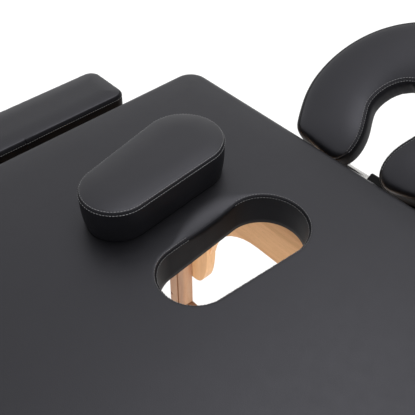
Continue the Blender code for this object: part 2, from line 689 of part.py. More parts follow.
def add_lower_legs(end, side, pivot):
    low = RUBBER_THICK + FIT
    faces = sorted((pivot[0] - side * (UPPER_LEG_FACE + FIT), pivot[0] - side * LOWER_LEG_FACE))
    middle = sum(faces) / 2
    for hand, sign in HANDS:
        origin = (middle, sign * BOLT_Y, LOWER_LEG_TOP)
        ends = sorted((sign * LOWER_LEG_INNER, sign * LEG_OUTER))
        plain, full = TIGHT_CORNER, LOWER_LEG_ROUND
        radii = (full, plain, plain, full) if side < 0 else (plain, full, full, plain)
        plan = rounded_outline((faces[0], ends[0]), (faces[1], ends[1]), radii)
        leg = add(f"{end}_lower_leg_{hand}",
                  flat_mesh([plan], LOWER_LEG_TOP - low, facing_z((low + LOWER_LEG_TOP) / 2)),
                  RED_BEECH, origin)
        slot = rounded_outline((sign * BOLT_Y - SLOT_HALF, SLOT_BOTTOM),
                               (sign * BOLT_Y + SLOT_HALF, SLOT_TOP), [SLOT_HALF - FIT] * 4)
        shape(leg, flat_mesh([slot], LOWER_LEG_THICK * 2, facing_x(middle)), "DIFFERENCE")
        front = pivot[0] - side * LOWER_LEG_FACE
        groove_y = LOWER_LEG_INNER + LEG_GROOVE_FROM_EDGE
        groove = ((front - side * LOWER_LEG_THICK, sign * groove_y, 0.0),
                  (front + side * LEG_GROOVE_DEPTH, sign * (groove_y + LEG_GROOVE_WIDTH),
                   SLOT_BOTTOM - LEG_GROOVE_STOP))
        shape(leg, boxes_mesh(groove), "DIFFERENCE")
        hole_y = sign * (LEG_OUTER - STOP_HOLE_EDGE)
        hole = ((middle - LOWER_LEG_THICK, hole_y, STOP_HOLE_HEIGHT),
                (middle + LOWER_LEG_THICK, hole_y, STOP_HOLE_HEIGHT), STOP_HOLE_RADIUS)
        shape(leg, rods_mesh(hole), "DIFFERENCE")
        rubber = add(f"{end}_rubber_foot_{hand}",
                     boxes_mesh(((faces[0] - RUBBER_LIP, ends[0] - RUBBER_LIP, 0.0),
                                 (faces[1] + RUBBER_LIP, ends[1] + RUBBER_LIP, RUBBER_THICK))),
                     RUBBER, origin)
        round_edges(rubber, RUBBER_LIP, 1)
    across = LOWER_LEG_INNER - FIT
    half = STRETCHER_THICK / 2
    stretcher = add(f"{end}_stretcher",
                    boxes_mesh(((middle - half, -across, STRETCHER_HEIGHT - STRETCHER_DEPTH),
                                (middle + half, across, STRETCHER_HEIGHT))),
                    RED_BEECH, (middle, 0.0, LOWER_LEG_TOP))
    round_edges(stretcher, LEG_BEVEL)


def add_knobs(end, side, pivot):
    back = pivot[0] + side * (UPPER_LEG_FACE + FIT)
    front = back + side * KNOB_THICK
    tip = pivot[0] - side * LOWER_LEG_FACE
    sides = 4 * KNOB_LOBES
    for hand, sign in HANDS:
        for place, z in (("upper", UPPER_BOLT_Z), ("lower", LOWER_BOLT_Z)):
            y = sign * BOLT_Y
            outline = []
            for step in range(sides):
                angle = 2 * math.pi * step / sides
                radius = KNOB_RADIUS + KNOB_LOBE * math.cos(KNOB_LOBES * angle)
                outline.append((y + radius * math.cos(angle), z + radius * math.sin(angle)))
            knob = add(f"{end}_knob_{hand}_{place}",
                       flat_mesh([outline], KNOB_THICK, facing_x((back + front) / 2)), PLASTIC, (back, y, z))
            round_edges(knob, KNOB_BEVEL, 1)
            shape(knob, rods_mesh(((tip, y, z), ((back + front) / 2, y, z), BOLT_RADIUS)), "UNION")


def add_leg_set(end, side, origin):
    pivot = (FOLD_X + side * LEG_FROM_FOLD, 0.0, LEG_PIVOT_Z)
    across = RAIL_OUTER - RAIL_BEVEL
    axle = ((pivot[0], -across, LEG_PIVOT_Z), (pivot[0], across, LEG_PIVOT_Z), AXLE_RADIUS)
    add(f"{end}_leg_axle", rods_mesh(axle), STEEL, origin)
    add_upper_legs(end, pivot)
    add_leg_arch(end, side, pivot)
    add_lower_legs(end, side, pivot)
    add_knobs(end, side, pivot)


def add_headrest():
    tube_x = TUBE_AXIS[0]
    tube_ends = (tube_x, -TUBE_HALF, TUBE_Z), (tube_x, TUBE_HALF, TUBE_Z)
    frame = add("headrest_frame", rods_mesh((*tube_ends, TUBE_RADIUS)), ALUMINIUM, TUBE_AXIS)
    prongs = []
    for _, sign in HANDS:
        y = sign * PRONG_SPACING / 2
        prongs.append(((HEAD_X - PRONG_DEPTH, y, PRONG_Z), (tube_x, y, PRONG_Z), PRONG_RADIUS))
    shape(frame, rods_mesh(*prongs), "UNION")

    bore = (*tube_ends, TUBE_RADIUS + FIT)
    low, high = TUBE_Z - CLAMP_HALF, TUBE_Z + CLAMP_HALF
    clamp = add("headrest_clamp_left",
                boxes_mesh(((tube_x - CLAMP_HALF, CLAMP_END - LEFT_CLAMP_LENGTH, low),
                            (tube_x + CLAMP_HALF, CLAMP_END, high))), PLASTIC, TUBE_AXIS, TILTED)
    round_edges(clamp, CLAMP_BEVEL, 1)
    shape(clamp, rods_mesh(bore), "DIFFERENCE", TILTED)

    lock = add("headrest_lock_clamp",
               boxes_mesh(((tube_x - CLAMP_HALF, -CLAMP_END, low), (tube_x + CLAMP_HALF, LOCK_EDGE, high))),
               PLASTIC, TUBE_AXIS, TILTED)
    round_edges(lock, CLAMP_BEVEL, 1)
    pin_z = low - FIT - LEVER_THICK / 2
    middle = (LOCK_EDGE - CLAMP_END) / 2
    lugs = []
    for _, sign in HANDS:
        inner = middle + sign * (LEVER_WIDTH / 2 + FIT)
        lugs.append(((tube_x - LUG_THICK, inner, pin_z - LEVER_THICK / 2),
                     (tube_x + LUG_THICK, inner + sign * LUG_THICK, low + CLAMP_BEVEL)))
    shape(lock, boxes_mesh(*lugs), "UNION", TILTED)
    pin_bore = ((tube_x, -CLAMP_END, pin_z), (tube_x, LOCK_EDGE, pin_z), LEVER_PIN_RADIUS + FIT)
    shape(lock, rods_mesh(bore, pin_bore), "DIFFERENCE", TILTED)

    lever_outline = rounded_outline((tube_x - LEVER_THICK / 2, pin_z - LEVER_THICK / 2),
                                    (tube_x + LEVER_LENGTH, pin_z + LEVER_THICK / 2),
                                    [LEVER_THICK / 2 - FIT] * 4)
    lever = add("headrest_lock_lever", flat_mesh([lever_outline], LEVER_WIDTH, facing_y(middle)), PLASTIC,
                (tube_x, middle, pin_z), TILTED)
    pin_half = LEVER_WIDTH / 2 + FIT + LUG_THICK
    pin = ((tube_x, middle - pin_half, pin_z), (tube_x, middle + pin_half, pin_z), LEVER_PIN_RADIUS)
    shape(lever, rods_mesh(pin), "UNION", TILTED)

    plate_end = math.pi / 2 + (SPINE_CENTRE - PLATE_START) / SPINE_FAR
    angles = [plate_end * (1 - 2 * step / PLATE_STEPS) for step in range(PLATE_STEPS + 1)]
    centre = Vector((tube_x, 0.0))
    outer = [centre + spine_point(angle) + spine_across(angle) * PLATE_HALF_WIDTH for angle in angles]
    inner = [centre + spine_point(angle) - spine_across(angle) * PLATE_HALF_WIDTH for angle in angles]
    plate_z = TUBE_Z + PLATE_BOTTOM + PLATE_THICK / 2
    add("headrest_plate", flat_mesh([outer + inner[::-1]], PLATE_THICK, facing_z(plate_z)), PLASTIC,
        TUBE_AXIS, TILTED)
    rings = [[(tube_x + x, y, TUBE_Z + z) for x, y, z in ring] for ring in HEADREST_RINGS]
    add("headrest_cushion", loft_mesh(rings), LEATHER, TUBE_AXIS, TILTED)


def add_plug():
    profile = cushion_profile(PLUG_THICK, PLUG_EDGE_ROUND, PLUG_DRAW_IN, PLUG_CROWN, PLUG_CROWN_REACH)
    turns = [2 * math.pi * step / HOLE_STEPS for step in range(HOLE_STEPS)]
    directions = [Vector((math.cos(turn), math.sin(turn))) for turn in turns]
    rings = []
    for inset, height in profile:
        spots = [hole_point(direction, PLUG_SQUEEZE - inset, PLUG_LONGER) for direction in directions]
        rings.append([(spot.x, spot.y, height) for spot in spots])
    plug = add("face_hole_plug", loft_mesh(rings), LEATHER)
    plug.location = (HEAD_X - PLUG_FROM_HEAD, PLUG_FROM_CENTRE, TABLE_HEIGHT + FIT)
    plug.rotation_euler[2] = PLUG_TURN


def arm_rod_places():
    """X of each armrest's two rods."""
    middle = HEAD_X - ARM_FROM_HEAD - ARM_LENGTH / 2
    return middle - ARM_ROD_SPACING / 2, middle + ARM_ROD_SPACING / 2


def add_armrest(hand, sign):
    high_x = HEAD_X - ARM_FROM_HEAD
    low_x = high_x - ARM_LENGTH
    centre = ((low_x + high_x) / 2, sign * ARM_Y, ARM_BOTTOM)
    half = ARM_WIDTH / 2
    profile = cushion_profile(ARM_THICK, ARM_EDGE_ROUND, ARM_DRAW_IN, ARM_CROWN, ARM_CROWN_REACH)
    rings = cushion_rings((low_x, sign * ARM_Y - half), (high_x, sign * ARM_Y + half), [ARM_CORNER] * 4,
                          profile, ARM_BOTTOM, ARM_EDGE_STEPS)
    add(f"armrest_pad_{hand}", loft_mesh(rings), LEATHER, centre)
    inset = ARM_BOARD_INSET
    board = rounded_outline((low_x + inset, sign * ARM_Y - half + inset),
                            (high_x - inset, sign * ARM_Y + half - inset), [ARM_CORNER - inset] * 4)
    board_z = ARM_BOARD_BOTTOM + ARM_BOARD_THICK / 2
    add(f"armrest_board_{hand}", flat_mesh([board], ARM_BOARD_THICK, facing_z(board_z)), PLYWOOD, centre)

    near_x, far_x = arm_rod_places()
    start_y = RAIL_INNER + RUNNING_FIT
    bends = []
    for middle_x, first in ((near_x + ARM_ROD_BEND, math.pi), (far_x - ARM_ROD_BEND, math.pi / 2)):
        for step in range(ARC_STEPS + 1):
            angle = first - math.pi / 2 * step / ARC_STEPS
            bends.append((middle_x + ARM_ROD_BEND * math.cos(angle),
                          ARM_Y - ARM_ROD_BEND + ARM_ROD_BEND * math.sin(angle)))
    route = [(near_x, start_y), *bends, (far_x, start_y)]
    curve = bpy.data.curves.new("rod", "CURVE")
    curve.dimensions = "3D"
    curve.bevel_depth = ARM_ROD_RADIUS
    curve.bevel_resolution = 2
    curve.use_fill_caps = True
    spline = curve.splines.new("POLY")
    spline.points.add(len(route) - 1)
    for point, (x, y) in zip(spline.points, route):
        point.co = (x, sign * y, ARM_ROD_Z, 1.0)
    add(f"armrest_rod_{hand}", curve_mesh(curve), STEEL, centre)


def add_latch(hand, sign):
    """Hook on the head half's rail, and the stud on the foot half's rail that it takes when closed."""
    pivot_x = FOLD_X + LATCH_FROM_FOLD
    grip = 2 * (LATCH_Z - FOLD_Z)
    half = LATCH_WIDTH / 2
    notch = STUD_RADIUS + RUNNING_FIT
    notch_x = pivot_x - grip
    low, high = LATCH_Z - half, LATCH_Z + half
    mouth = [(notch_x - notch, low)]
    for step in range(ARC_STEPS + 1):
        angle = math.pi * (1 - step / ARC_STEPS)
        mouth.append((notch_x + notch * math.cos(angle), LATCH_Z + notch * math.sin(angle)))
    mouth.append((notch_x + notch, low))
    outline = [(notch_x - LATCH_TAIL, high), (notch_x - LATCH_TAIL, low), *mouth, (pivot_x + half, low),
               (pivot_x + half, high)]
    middle = sign * (RAIL_OUTER + FIT + LATCH_THICK / 2)
    hook = add(f"latch_hook_{hand}", flat_mesh([outline], LATCH_THICK, facing_y(middle)), STEEL,
               (pivot_x, middle, LATCH_Z))
    pin_end = sign * (RAIL_OUTER - LATCH_PIN_DEPTH)
    pin = ((pivot_x, pin_end, LATCH_Z), (pivot_x, middle, LATCH_Z), LATCH_PIN_RADIUS)
    shape(hook, rods_mesh(pin), "UNION")
    stud_x = FOLD_X - LATCH_FROM_FOLD
    stud = ((stud_x, pin_end, LATCH_Z), (stud_x, sign * (RAIL_OUTER + STUD_REACH), LATCH_Z), STUD_RADIUS)
    add(f"latch_stud_{hand}", rods_mesh(stud), STEEL, (stud_x, sign * RAIL_OUTER, LATCH_Z))


def add_strap(end, side, origin):
    """Carry strap on the right-hand side rail: two flat tabs and a raised grip between them."""
    middle_x = FOLD_X + side * STRAP_FROM_FOLD
    half = STRAP_LENGTH / 2
    rise = STRAP_STAND_OFF
    foot = -(RAIL_OUTER + FIT)
    inner = [(-half, 0.0), (STRAP_TAB - half, 0.0)]
    for step in range(1, ARC_STEPS + 1):
        share = step / ARC_STEPS
        inner.append((STRAP_TAB - half + rise * share, rise * (1 - math.cos(math.pi * share)) / 2))
    inner += [(-x, y) for x, y in reversed(inner)]
    outer = [(x + math.copysign(STRAP_THICK / 2, -x) * (0 < y < rise), y + STRAP_THICK) for x, y in inner]
    outline = [(middle_x + x, foot - y) for x, y in inner + outer[::-1]]
    middle_z = (RAIL_TOP + RAIL_BOTTOM) / 2
    add(f"carry_strap_{end}", flat_mesh([outline], STRAP_HEIGHT, facing_z(middle_z)), WEBBING, origin)


for half_name, half_side, half_origin in HALVES:
    add_pad(half_name, half_side, half_origin)
    add_board(half_name, half_side, half_origin)
    add_rails(half_name, half_side, half_origin)
    add_leg_set(half_name, half_side, half_origin)
    add_strap(half_name, half_side, half_origin)
add_hinge()
add_headrest()
add_plug()
for hand_name, hand_sign in HANDS:
    add_armrest(hand_name, hand_sign)
    add_latch(hand_name, hand_sign)
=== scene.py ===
"""Looks of the folding massage table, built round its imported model. Metres, +X to the head end, +Z up."""
import math

import bpy
import numpy as np
from mathutils import Matrix, Vector


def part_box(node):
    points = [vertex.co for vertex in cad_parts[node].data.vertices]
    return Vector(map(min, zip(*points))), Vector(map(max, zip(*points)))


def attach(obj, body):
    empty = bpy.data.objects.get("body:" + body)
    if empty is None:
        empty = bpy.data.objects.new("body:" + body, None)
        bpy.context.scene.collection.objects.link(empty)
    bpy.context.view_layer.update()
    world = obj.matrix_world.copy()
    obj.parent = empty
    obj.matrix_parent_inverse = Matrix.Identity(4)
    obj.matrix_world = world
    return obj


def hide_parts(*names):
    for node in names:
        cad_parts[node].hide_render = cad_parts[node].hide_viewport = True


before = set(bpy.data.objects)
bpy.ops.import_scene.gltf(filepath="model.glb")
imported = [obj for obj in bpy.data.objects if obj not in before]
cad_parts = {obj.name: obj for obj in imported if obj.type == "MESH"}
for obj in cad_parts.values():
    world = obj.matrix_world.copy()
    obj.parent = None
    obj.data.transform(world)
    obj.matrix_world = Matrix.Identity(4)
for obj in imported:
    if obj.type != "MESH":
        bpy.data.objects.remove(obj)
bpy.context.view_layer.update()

MM = 0.001
TINY = 1e-12
FULL_TURN = 2 * math.pi
HALF_TURN = math.pi
QUARTER_TURN = math.pi / 2

# Padded top, as in the part
PAD_CORNER = 0.032
PAD_FOLD_CORNER = 0.010
PAD_EDGE_ROUND = 0.009
PAD_DRAW_IN = 0.005
PAD_CROWN = 0.002
PAD_CROWN_REACH = 0.055
HOLE_FROM_HEAD = 0.2396
HOLE_FROM_CENTRE = 0.0038
HOLE_LENGTH = 0.2286
HOLE_WIDTH = 0.106
HOLE_TAPER = 0.0045
TIGHT_CORNER = 0.002

# Rim of the face hole: tight all round, but drawn down softly along the middle of its left side
RIM_ROUND = 0.005
RIM_FLAT = 0.017
RIM_FLAT_LOSS = 0.8
RIM_PULL_WIDTH = 0.026
RIM_PULL_DROP = 0.009
RIM_PULL_SHIFT = 0.016
RIM_PULL_NEAR = 0.006
RIM_PULL_FAR = 0.076
RIM_SEAM_SHARE = 0.42
RIM_SEAM_DROP = 0.006
RIM_SEAM_EASE = 0.6
RIM_STITCH_PULL = 0.45
SKIRT_INSIDE = 0.0004
SKIRT_THICK = 0.0008
SKIRT_BELOW = 0.0005

# Plug, as in the part
PLUG_SQUEEZE = 0.001
PLUG_LONGER = 0.0064
PLUG_TURN = math.radians(8.2)
PLUG_FROM_HEAD = 0.2488
PLUG_FROM_CENTRE = 0.1533
PLUG_EDGE_ROUND = 0.006
PLUG_DRAW_IN = 0.004
PLUG_CROWN = 0.004
PLUG_CROWN_REACH = 0.040
PLUG_SEAM_SHARE = 0.12

# Armrests, as in the part, with a seam across the side that faces the table
ARM_CORNER = 0.020
ARM_EDGE_ROUND = 0.008
ARM_DRAW_IN = 0.004
ARM_CROWN = 0.003
ARM_CROWN_REACH = 0.032
ARM_SEAM_SHARE = 0.16
ARM_SEAM_DEPTH = 0.0003
ARM_CROSS_SEAM_FROM_HEAD = 0.318
ARM_SIDE_FACING = (0.25, 0.75)
ARM_LIP = 0.0012
ARM_LIP_LENGTH = 0.012

# Headrest, as in the part; its angles run along the spine and its turns round the section
HEADREST_TILT = math.radians(31.5)
TUBE_RADIUS = 0.0125
CUSHION_BOTTOM = 0.0206
CUSHION_THICK = 0.050
CUSHION_HALF_WIDTH = 0.057
CUSHION_CROWN = 0.004
CUSHION_SHIFT = 0.0055
CUSHION_TURN = math.radians(2.6)
SPINE_CENTRE = 0.100
SPINE_FAR = 0.110
SPINE_NEAR = 0.106
SPINE_SIDE = 0.1005
SPINE_END = QUARTER_TURN + SPINE_NEAR / SPINE_FAR
TIP_DRAW = 0.031
TIP_LENGTH = 0.053
TIP_SPAN = TIP_LENGTH / SPINE_FAR
TIP_START = 0.03
TIP_LEAN = 0.28
TIP_HEIGHT = 0.030
TIP_FULLNESS = 2.35
SECTION_POWER = 0.5
SECTION_SEAM = math.radians(141.0)
SECTION_SEAM_GAP = 0.04
WRINKLE_DEPTH = 0.0009
WRINKLE_COUNT = 26.0
WRINKLE_SWAY = 2.5
WRINKLE_SWAY_COUNT = 7.0
WRINKLE_SLANT = 2.0
WRINKLE_TURNS = 0.45
WRINKLE_ANGLES = 0.9

# Carry straps, as in the part
STRAP_TAB = 0.028
STRAP_STAND_OFF = 0.026
STRAP_THICK = 0.004
STRAP_EDGE_POWER = 0.3
STRAP_FACE_POWER = 0.5
STRAP_STITCH_EDGE = 0.0035
STRAP_BOX_EDGE = 0.005

# Sewing; places beside a seam are distances across it, and on the headrest turns
SEAM_DEPTH = 0.0009
SEAM_HALF = 0.0011
PUCKER_DEPTH = 0.00018
PUCKER_PITCH = 0.0126
PUCKER_REACH = 3.5
STITCH_PITCH = 0.0042
STITCH_LENGTH = 0.0037
STITCH_RADIUS = 0.00050
STITCH_END_GIRTH = 0.45
STITCH_SINK = 0.55
BESIDE_SEAM = np.array((0.5, 0.9, 1.4, 1.9, 2.6, 3.6, 5.0)) * MM
NEAR_SEAM = np.concatenate([-BESIDE_SEAM[::-1], [0.0], BESIDE_SEAM])
BESIDE_SECTION_SEAM = np.radians((1.2, 2.4, 3.8, 5.6, 8.0))
NEAR_SECTION_SEAM = np.concatenate([-BESIDE_SECTION_SEAM[::-1], [0.0], BESIDE_SECTION_SEAM])

# Fineness of the meshes; edge counts go round from an outline's +X +Y corner
RING_STEP = 0.004
RING_GAP = RING_STEP / 3
ARC_STEPS = 12
SIDE_STEPS = 40
SIDE_POWER = 3.4
EDGE_STEPS = 400
CROWN_STEPS = 60
TOP_SHARES = (0.2, 0.4, 0.6, 0.8, 0.97)
HEAD_PAD_EDGES = (70, 44, 70, 84)
FOOT_PAD_EDGES = (50, 40, 50, 40)
ARM_LONG_EDGE = 60
ARM_SHORT_EDGE = 8
HEAD_TOP_RINGS = 14
RIM_STEPS = 40
RIM_RINGS_BEFORE = 11
RIM_RINGS_AFTER = 9
HOLE_HALVINGS = 40
PLUG_POINTS = 160
TIP_RINGS = 14
SPINE_RINGS = 100
SPINE_SLOPE_STEP = 0.001
SECTION_TURNS = 48
STRAP_RINGS = 121
STRAP_POINTS = 32
STRAP_LINE_STEPS = 12
STITCH_STEPS = 4
STITCH_SIDES = 6

# Rings from a seam to its stitches, from the armrests' seam to the end of the painted shade on their sides,
# and from the headrest's tips to their first stitch
STITCH_RINGS = 5
ARM_STITCH_RINGS = 6
ARM_SHADED_RINGS = 6
HEADREST_STITCH_RINGS = 4
HEADREST_UNSEWN_RINGS = 6

# Camera, found from the straight edges of the photographed top
CAMERA_BEHIND_HEAD = 0.6571
CAMERA_SIDE = -0.4141
CAMERA_OVER_TOP = 0.642
CAMERA_HEADING = math.radians(48.05)
CAMERA_PITCH = math.radians(44.04)
CAMERA_LENS = 59.2
CAMERA_SENSOR = 36.0

# Lamps: name, place, target, size, watts, and whether gloss shows them
LAMPS = (
    ("overhead_softbox", (1.1, -0.1, 2.7), (0.4, 0.0, 0.6), (1.8, 1.8), 22.0, True),
    ("low_fill_foot", (-9.0, -2.2, 0.42), (0.6, 0.0, 0.35), (5.0, 0.7), 590.0, False),
    ("low_fill_right", (0.4, -5.4, 0.42), (0.5, 0.0, 0.35), (3.2, 0.7), 250.0, False),
    ("low_fill_head", (4.0, 0.6, 0.42), (0.6, 0.0, 0.35), (2.4, 0.7), 75.0, False),
    ("low_fill_left", (1.9, 3.2, 0.40), (0.4, 0.0, 0.35), (1.6, 0.7), 75.0, False),
)
WORLD_FILL = 0.30
FLOOR_REACH = 30.0
FLOOR_PLAIN = (0.82, 0.82, 0.82, 1.0)
FLOOR_SHADED = (0.26, 0.26, 0.26, 1.0)
FLOOR_GLOW = 0.86
WHITE = (1.0, 1.0, 1.0, 1.0)

PAD_LOW, PAD_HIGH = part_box("head_pad")
HEAD_X = PAD_HIGH.x
TABLE_HEIGHT = PAD_HIGH.z
PAD_THICK = PAD_HIGH.z - PAD_LOW.z
BOARD_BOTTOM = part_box("head_base_board")[0].z
HOLE_CENTRE = np.array((HEAD_X - HOLE_FROM_HEAD, HOLE_FROM_CENTRE))

# Colours from light to dark, or of a whole surface
BEECH = ((0.80, 0.50, 0.275), (0.73, 0.44, 0.228), (0.62, 0.350, 0.168))
RED_BEECH = ((0.48, 0.305, 0.195), (0.42, 0.238, 0.142), (0.335, 0.172, 0.096))
VENEER = ((0.66, 0.50, 0.32), (0.56, 0.40, 0.24), (0.44, 0.29, 0.16))
PLIES = ((0.58, 0.42, 0.25), (0.26, 0.15, 0.07))
BLACK_LEATHER = ((0.0058, 0.0058, 0.0070), (0.0036, 0.0036, 0.0044))
BLACK_PLASTIC = ((0.008, 0.008, 0.0085), (0.004, 0.004, 0.0045))
BLACK_RUBBER = ((0.032, 0.031, 0.030), (0.014, 0.014, 0.014))
BLACK_WEBBING = ((0.035, 0.035, 0.040), (0.008, 0.008, 0.009))
# Black thread painted grey: a painted highlight along the stitches
THREAD_PAINTED_HIGHLIGHT = ((0.220, 0.220, 0.228), (0.120, 0.120, 0.125))
ALUMINIUM = (0.60, 0.59, 0.575)
STEEL = (0.60, 0.60, 0.61)
LEATHER_GLINT = (0.90, 0.895, 1.0, 1.0)
WOOD_ROUGH = 0.42
FLECK_SHADE = 0.55
METAL_SHADE = 0.82
GRAIN_SCALES = {"x": (1.0, 15.0, 15.0), "y": (15.0, 1.0, 15.0), "z": (15.0, 15.0, 1.0)}


# Materials

def build_material(name):
    """A new material, with its tree, its principled shader and its object coordinates."""
    material = bpy.data.materials.new(name)
    material.use_nodes = True
    tree = material.node_tree
    shader = tree.nodes["Principled BSDF"]
    coords = tree.nodes.new("ShaderNodeTexCoord")
    return material, tree, shader, coords.outputs["Object"]


def set_input(tree, socket, value):
    """Link an input to another node's output, or set its value."""
    if isinstance(value, bpy.types.NodeSocket):
        tree.links.new(value, socket)
    else:
        socket.default_value = value


def set_inputs(tree, node, **inputs):
    """Set a node's inputs by their names, with _ for each space."""
    for key, value in inputs.items():
        set_input(tree, node.inputs[key.replace("_", " ")], value)


def add_node(tree, kind, settings=None, **inputs):
    node = tree.nodes.new(kind)
    for key, value in (settings or {}).items():
        setattr(node, key, value)
    set_inputs(tree, node, **inputs)
    return node


def math_node(tree, operation, *values):
    node = add_node(tree, "ShaderNodeMath", {"operation": operation})
    for socket, value in zip(node.inputs, values):
        set_input(tree, socket, value)
    return node.outputs["Value"]


def ramp(tree, factor, stops):
    """A colour ramp through (place, colour) stops."""
    node = add_node(tree, "ShaderNodeValToRGB", Fac=factor)
    elements = node.color_ramp.elements
    while len(elements) < len(stops):
        elements.new(0.5)
    for element, (place, colour) in zip(elements, stops):
        element.position = place
        element.color = (*colour, 1.0)
    return node.outputs["Color"]


def spread(tree, value, low, high, start=0.0, end=1.0):
    """A value's range from start to end, stretched to one from low to high."""
    node = add_node(tree, "ShaderNodeMapRange", Value=value, From_Min=start, From_Max=end,
                    To_Min=low, To_Max=high)
    return node.outputs["Result"]


def along_grain(tree, coords, axis):
    return add_node(tree, "ShaderNodeMapping", Vector=coords, Scale=GRAIN_SCALES[axis]).outputs["Vector"]


def noise(tree, coords, scale, detail=3.0, roughness=0.5, distortion=0.0):
    node = add_node(tree, "ShaderNodeTexNoise", Vector=coords, Scale=scale, Detail=detail,
                    Roughness=roughness, Distortion=distortion)
    return node.outputs["Fac"]


def wave(tree, coords, direction, scale, distortion, detail):
    settings = {"wave_type": "BANDS", "bands_direction": direction}
    node = add_node(tree, "ShaderNodeTexWave", settings, Vector=coords, Scale=scale, Distortion=distortion,
                    Detail=detail)
    return node.outputs["Fac"]


def bump(tree, height, distance, strength, under=None):
    """A bumped normal, on top of the one under it if there is one."""
    node = add_node(tree, "ShaderNodeBump", Height=height, Distance=distance, Strength=strength)
    if under is not None:
        set_inputs(tree, node, Normal=under)
    return node.outputs["Normal"]


def mixed(tree, factor, one, other):
    """A mix of two colours; its node has a row of sockets for each kind of data."""
    node = add_node(tree, "ShaderNodeMix", {"data_type": "RGBA"})
    factor_socket, one_socket, other_socket = node.inputs[0], node.inputs[6], node.inputs[7]
    set_input(tree, factor_socket, factor)
    set_input(tree, one_socket, one)
    set_input(tree, other_socket, other)
    return node.outputs[2]


def leather_material(name, rough, gloss):
    """Smooth soft synthetic leather: fine pebble grain, slight unevenness and a satin sheen."""
    material, tree, shader, coords = build_material(name)
    light, dark = BLACK_LEATHER
    patches = noise(tree, coords, scale=18.0, detail=4.0)
    worn = noise(tree, coords, scale=60.0)
    pebble = add_node(tree, "ShaderNodeTexVoronoi", {"feature": "SMOOTH_F1"}, Vector=coords, Scale=720.0,
                      Smoothness=0.6).outputs["Distance"]
    broad = bump(tree, noise(tree, coords, scale=9.0, detail=2.0), distance=0.0016, strength=0.35)
    creases = bump(tree, noise(tree, coords, scale=230.0), distance=0.00012, strength=0.30, under=broad)
    set_inputs(tree, shader, Base_Color=ramp(tree, patches, ((0.30, dark), (0.72, light))),
               Roughness=spread(tree, worn, rough - 0.05, rough + 0.05),
               Specular_IOR_Level=gloss, Specular_Tint=LEATHER_GLINT,
               Normal=bump(tree, pebble, distance=0.00016, strength=0.35, under=creases))
    return material


def wood_material(name, axis, light, middle, dark):
    """Lacquered beech: long soft bands along its grain, short darker flecks and fine pores."""
    material, tree, shader, coords = build_material(name)
    along = along_grain(tree, coords, axis)
    bands = noise(tree, along, scale=5.5, detail=5.0, roughness=0.55, distortion=0.35)
    fine = noise(tree, along, scale=46.0, roughness=0.6)
    flecks = noise(tree, along, scale=120.0, detail=1.0)
    deep = tuple(FLECK_SHADE * value for value in dark)
    colour = ramp(tree, bands, ((0.30, dark), (0.50, middle), (0.70, light)))
    colour = mixed(tree, spread(tree, fine, 0.0, 0.35), colour, (*dark, 1.0))
    colour = mixed(tree, spread(tree, flecks, 0.0, 0.40, start=0.62, end=0.72), colour, (*deep, 1.0))
    set_inputs(tree, shader, Base_Color=colour, Specular_IOR_Level=0.22,
               Roughness=spread(tree, bands, WOOD_ROUGH - 0.06, WOOD_ROUGH + 0.08),
               Normal=bump(tree, fine, distance=0.00025, strength=0.25))
    return material


def plywood_material(name, axis):
    """Birch plywood: pale veneer on its faces and dark and light plies on its edges."""
    material, tree, shader, coords = build_material(name)
    along = along_grain(tree, coords, axis)
    grain = noise(tree, along, scale=4.0, detail=5.0, roughness=0.55, distortion=0.5)
    light, middle, dark = VENEER
    veneer = ramp(tree, grain, ((0.28, dark), (0.52, middle), (0.75, light)))
    plies = wave(tree, coords, "Z", scale=160.0, distortion=0.6, detail=2.0)
    light_ply, dark_ply = PLIES
    edge = ramp(tree, plies, ((0.25, dark_ply), (0.70, light_ply)))
    normal = tree.nodes.new("ShaderNodeNewGeometry").outputs["Normal"]
    up = add_node(tree, "ShaderNodeSeparateXYZ", Vector=normal).outputs["Z"]
    is_face = spread(tree, math_node(tree, "ABSOLUTE", up), 0.0, 1.0, start=0.4, end=0.6)
    set_inputs(tree, shader, Base_Color=mixed(tree, is_face, edge, veneer),
               Roughness=spread(tree, grain, 0.50, 0.68),
               Normal=bump(tree, grain, distance=0.0003, strength=0.30))
    return material


def metal_material(name, axis, colour, rough, brushing):
    """Drawn metal with fine lines along its axis."""
    material, tree, shader, coords = build_material(name)
    lines = noise(tree, along_grain(tree, coords, axis), scale=170.0)
    cloud = noise(tree, coords, scale=40.0)
    darker = tuple(METAL_SHADE * value for value in colour)
    set_inputs(tree, shader, Base_Color=ramp(tree, cloud, ((0.30, darker), (0.65, colour))), Metallic=1.0,
               Roughness=spread(tree, lines, rough - 0.07, rough + 0.09),
               Normal=bump(tree, lines, distance=0.00008, strength=brushing))
    return material


def moulded_material(name, light, dark, rough, grain):
    """Moulded black plastic or rubber with a fine spark texture and faint greying."""
    material, tree, shader, coords = build_material(name)
    patches = noise(tree, coords, scale=55.0, detail=4.0)
    spark = noise(tree, coords, scale=1500.0, detail=2.0)
    set_inputs(tree, shader, Base_Color=ramp(tree, patches, ((0.35, dark), (0.75, light))),
               Specular_IOR_Level=0.14,
               Roughness=spread(tree, patches, rough - 0.06, rough + 0.08),
               Normal=bump(tree, spark, distance=0.00012, strength=grain))
    return material


def webbing_material(name):
    """Woven strap: ribs across its length and a finer thread along it."""
    material, tree, shader, coords = build_material(name)
    light, dark = BLACK_WEBBING
    ribs = wave(tree, coords, "X", scale=120.0, distortion=0.8, detail=1.0)
    threads = wave(tree, coords, "Z", scale=190.0, distortion=0.5, detail=1.0)
    weave = math_node(tree, "MULTIPLY", ribs, threads)
    set_inputs(tree, shader, Base_Color=ramp(tree, weave, ((0.05, dark), (0.70, light))), Roughness=0.75,
               Sheen_Weight=0.15, Normal=bump(tree, weave, distance=0.0006, strength=0.8))
    return material


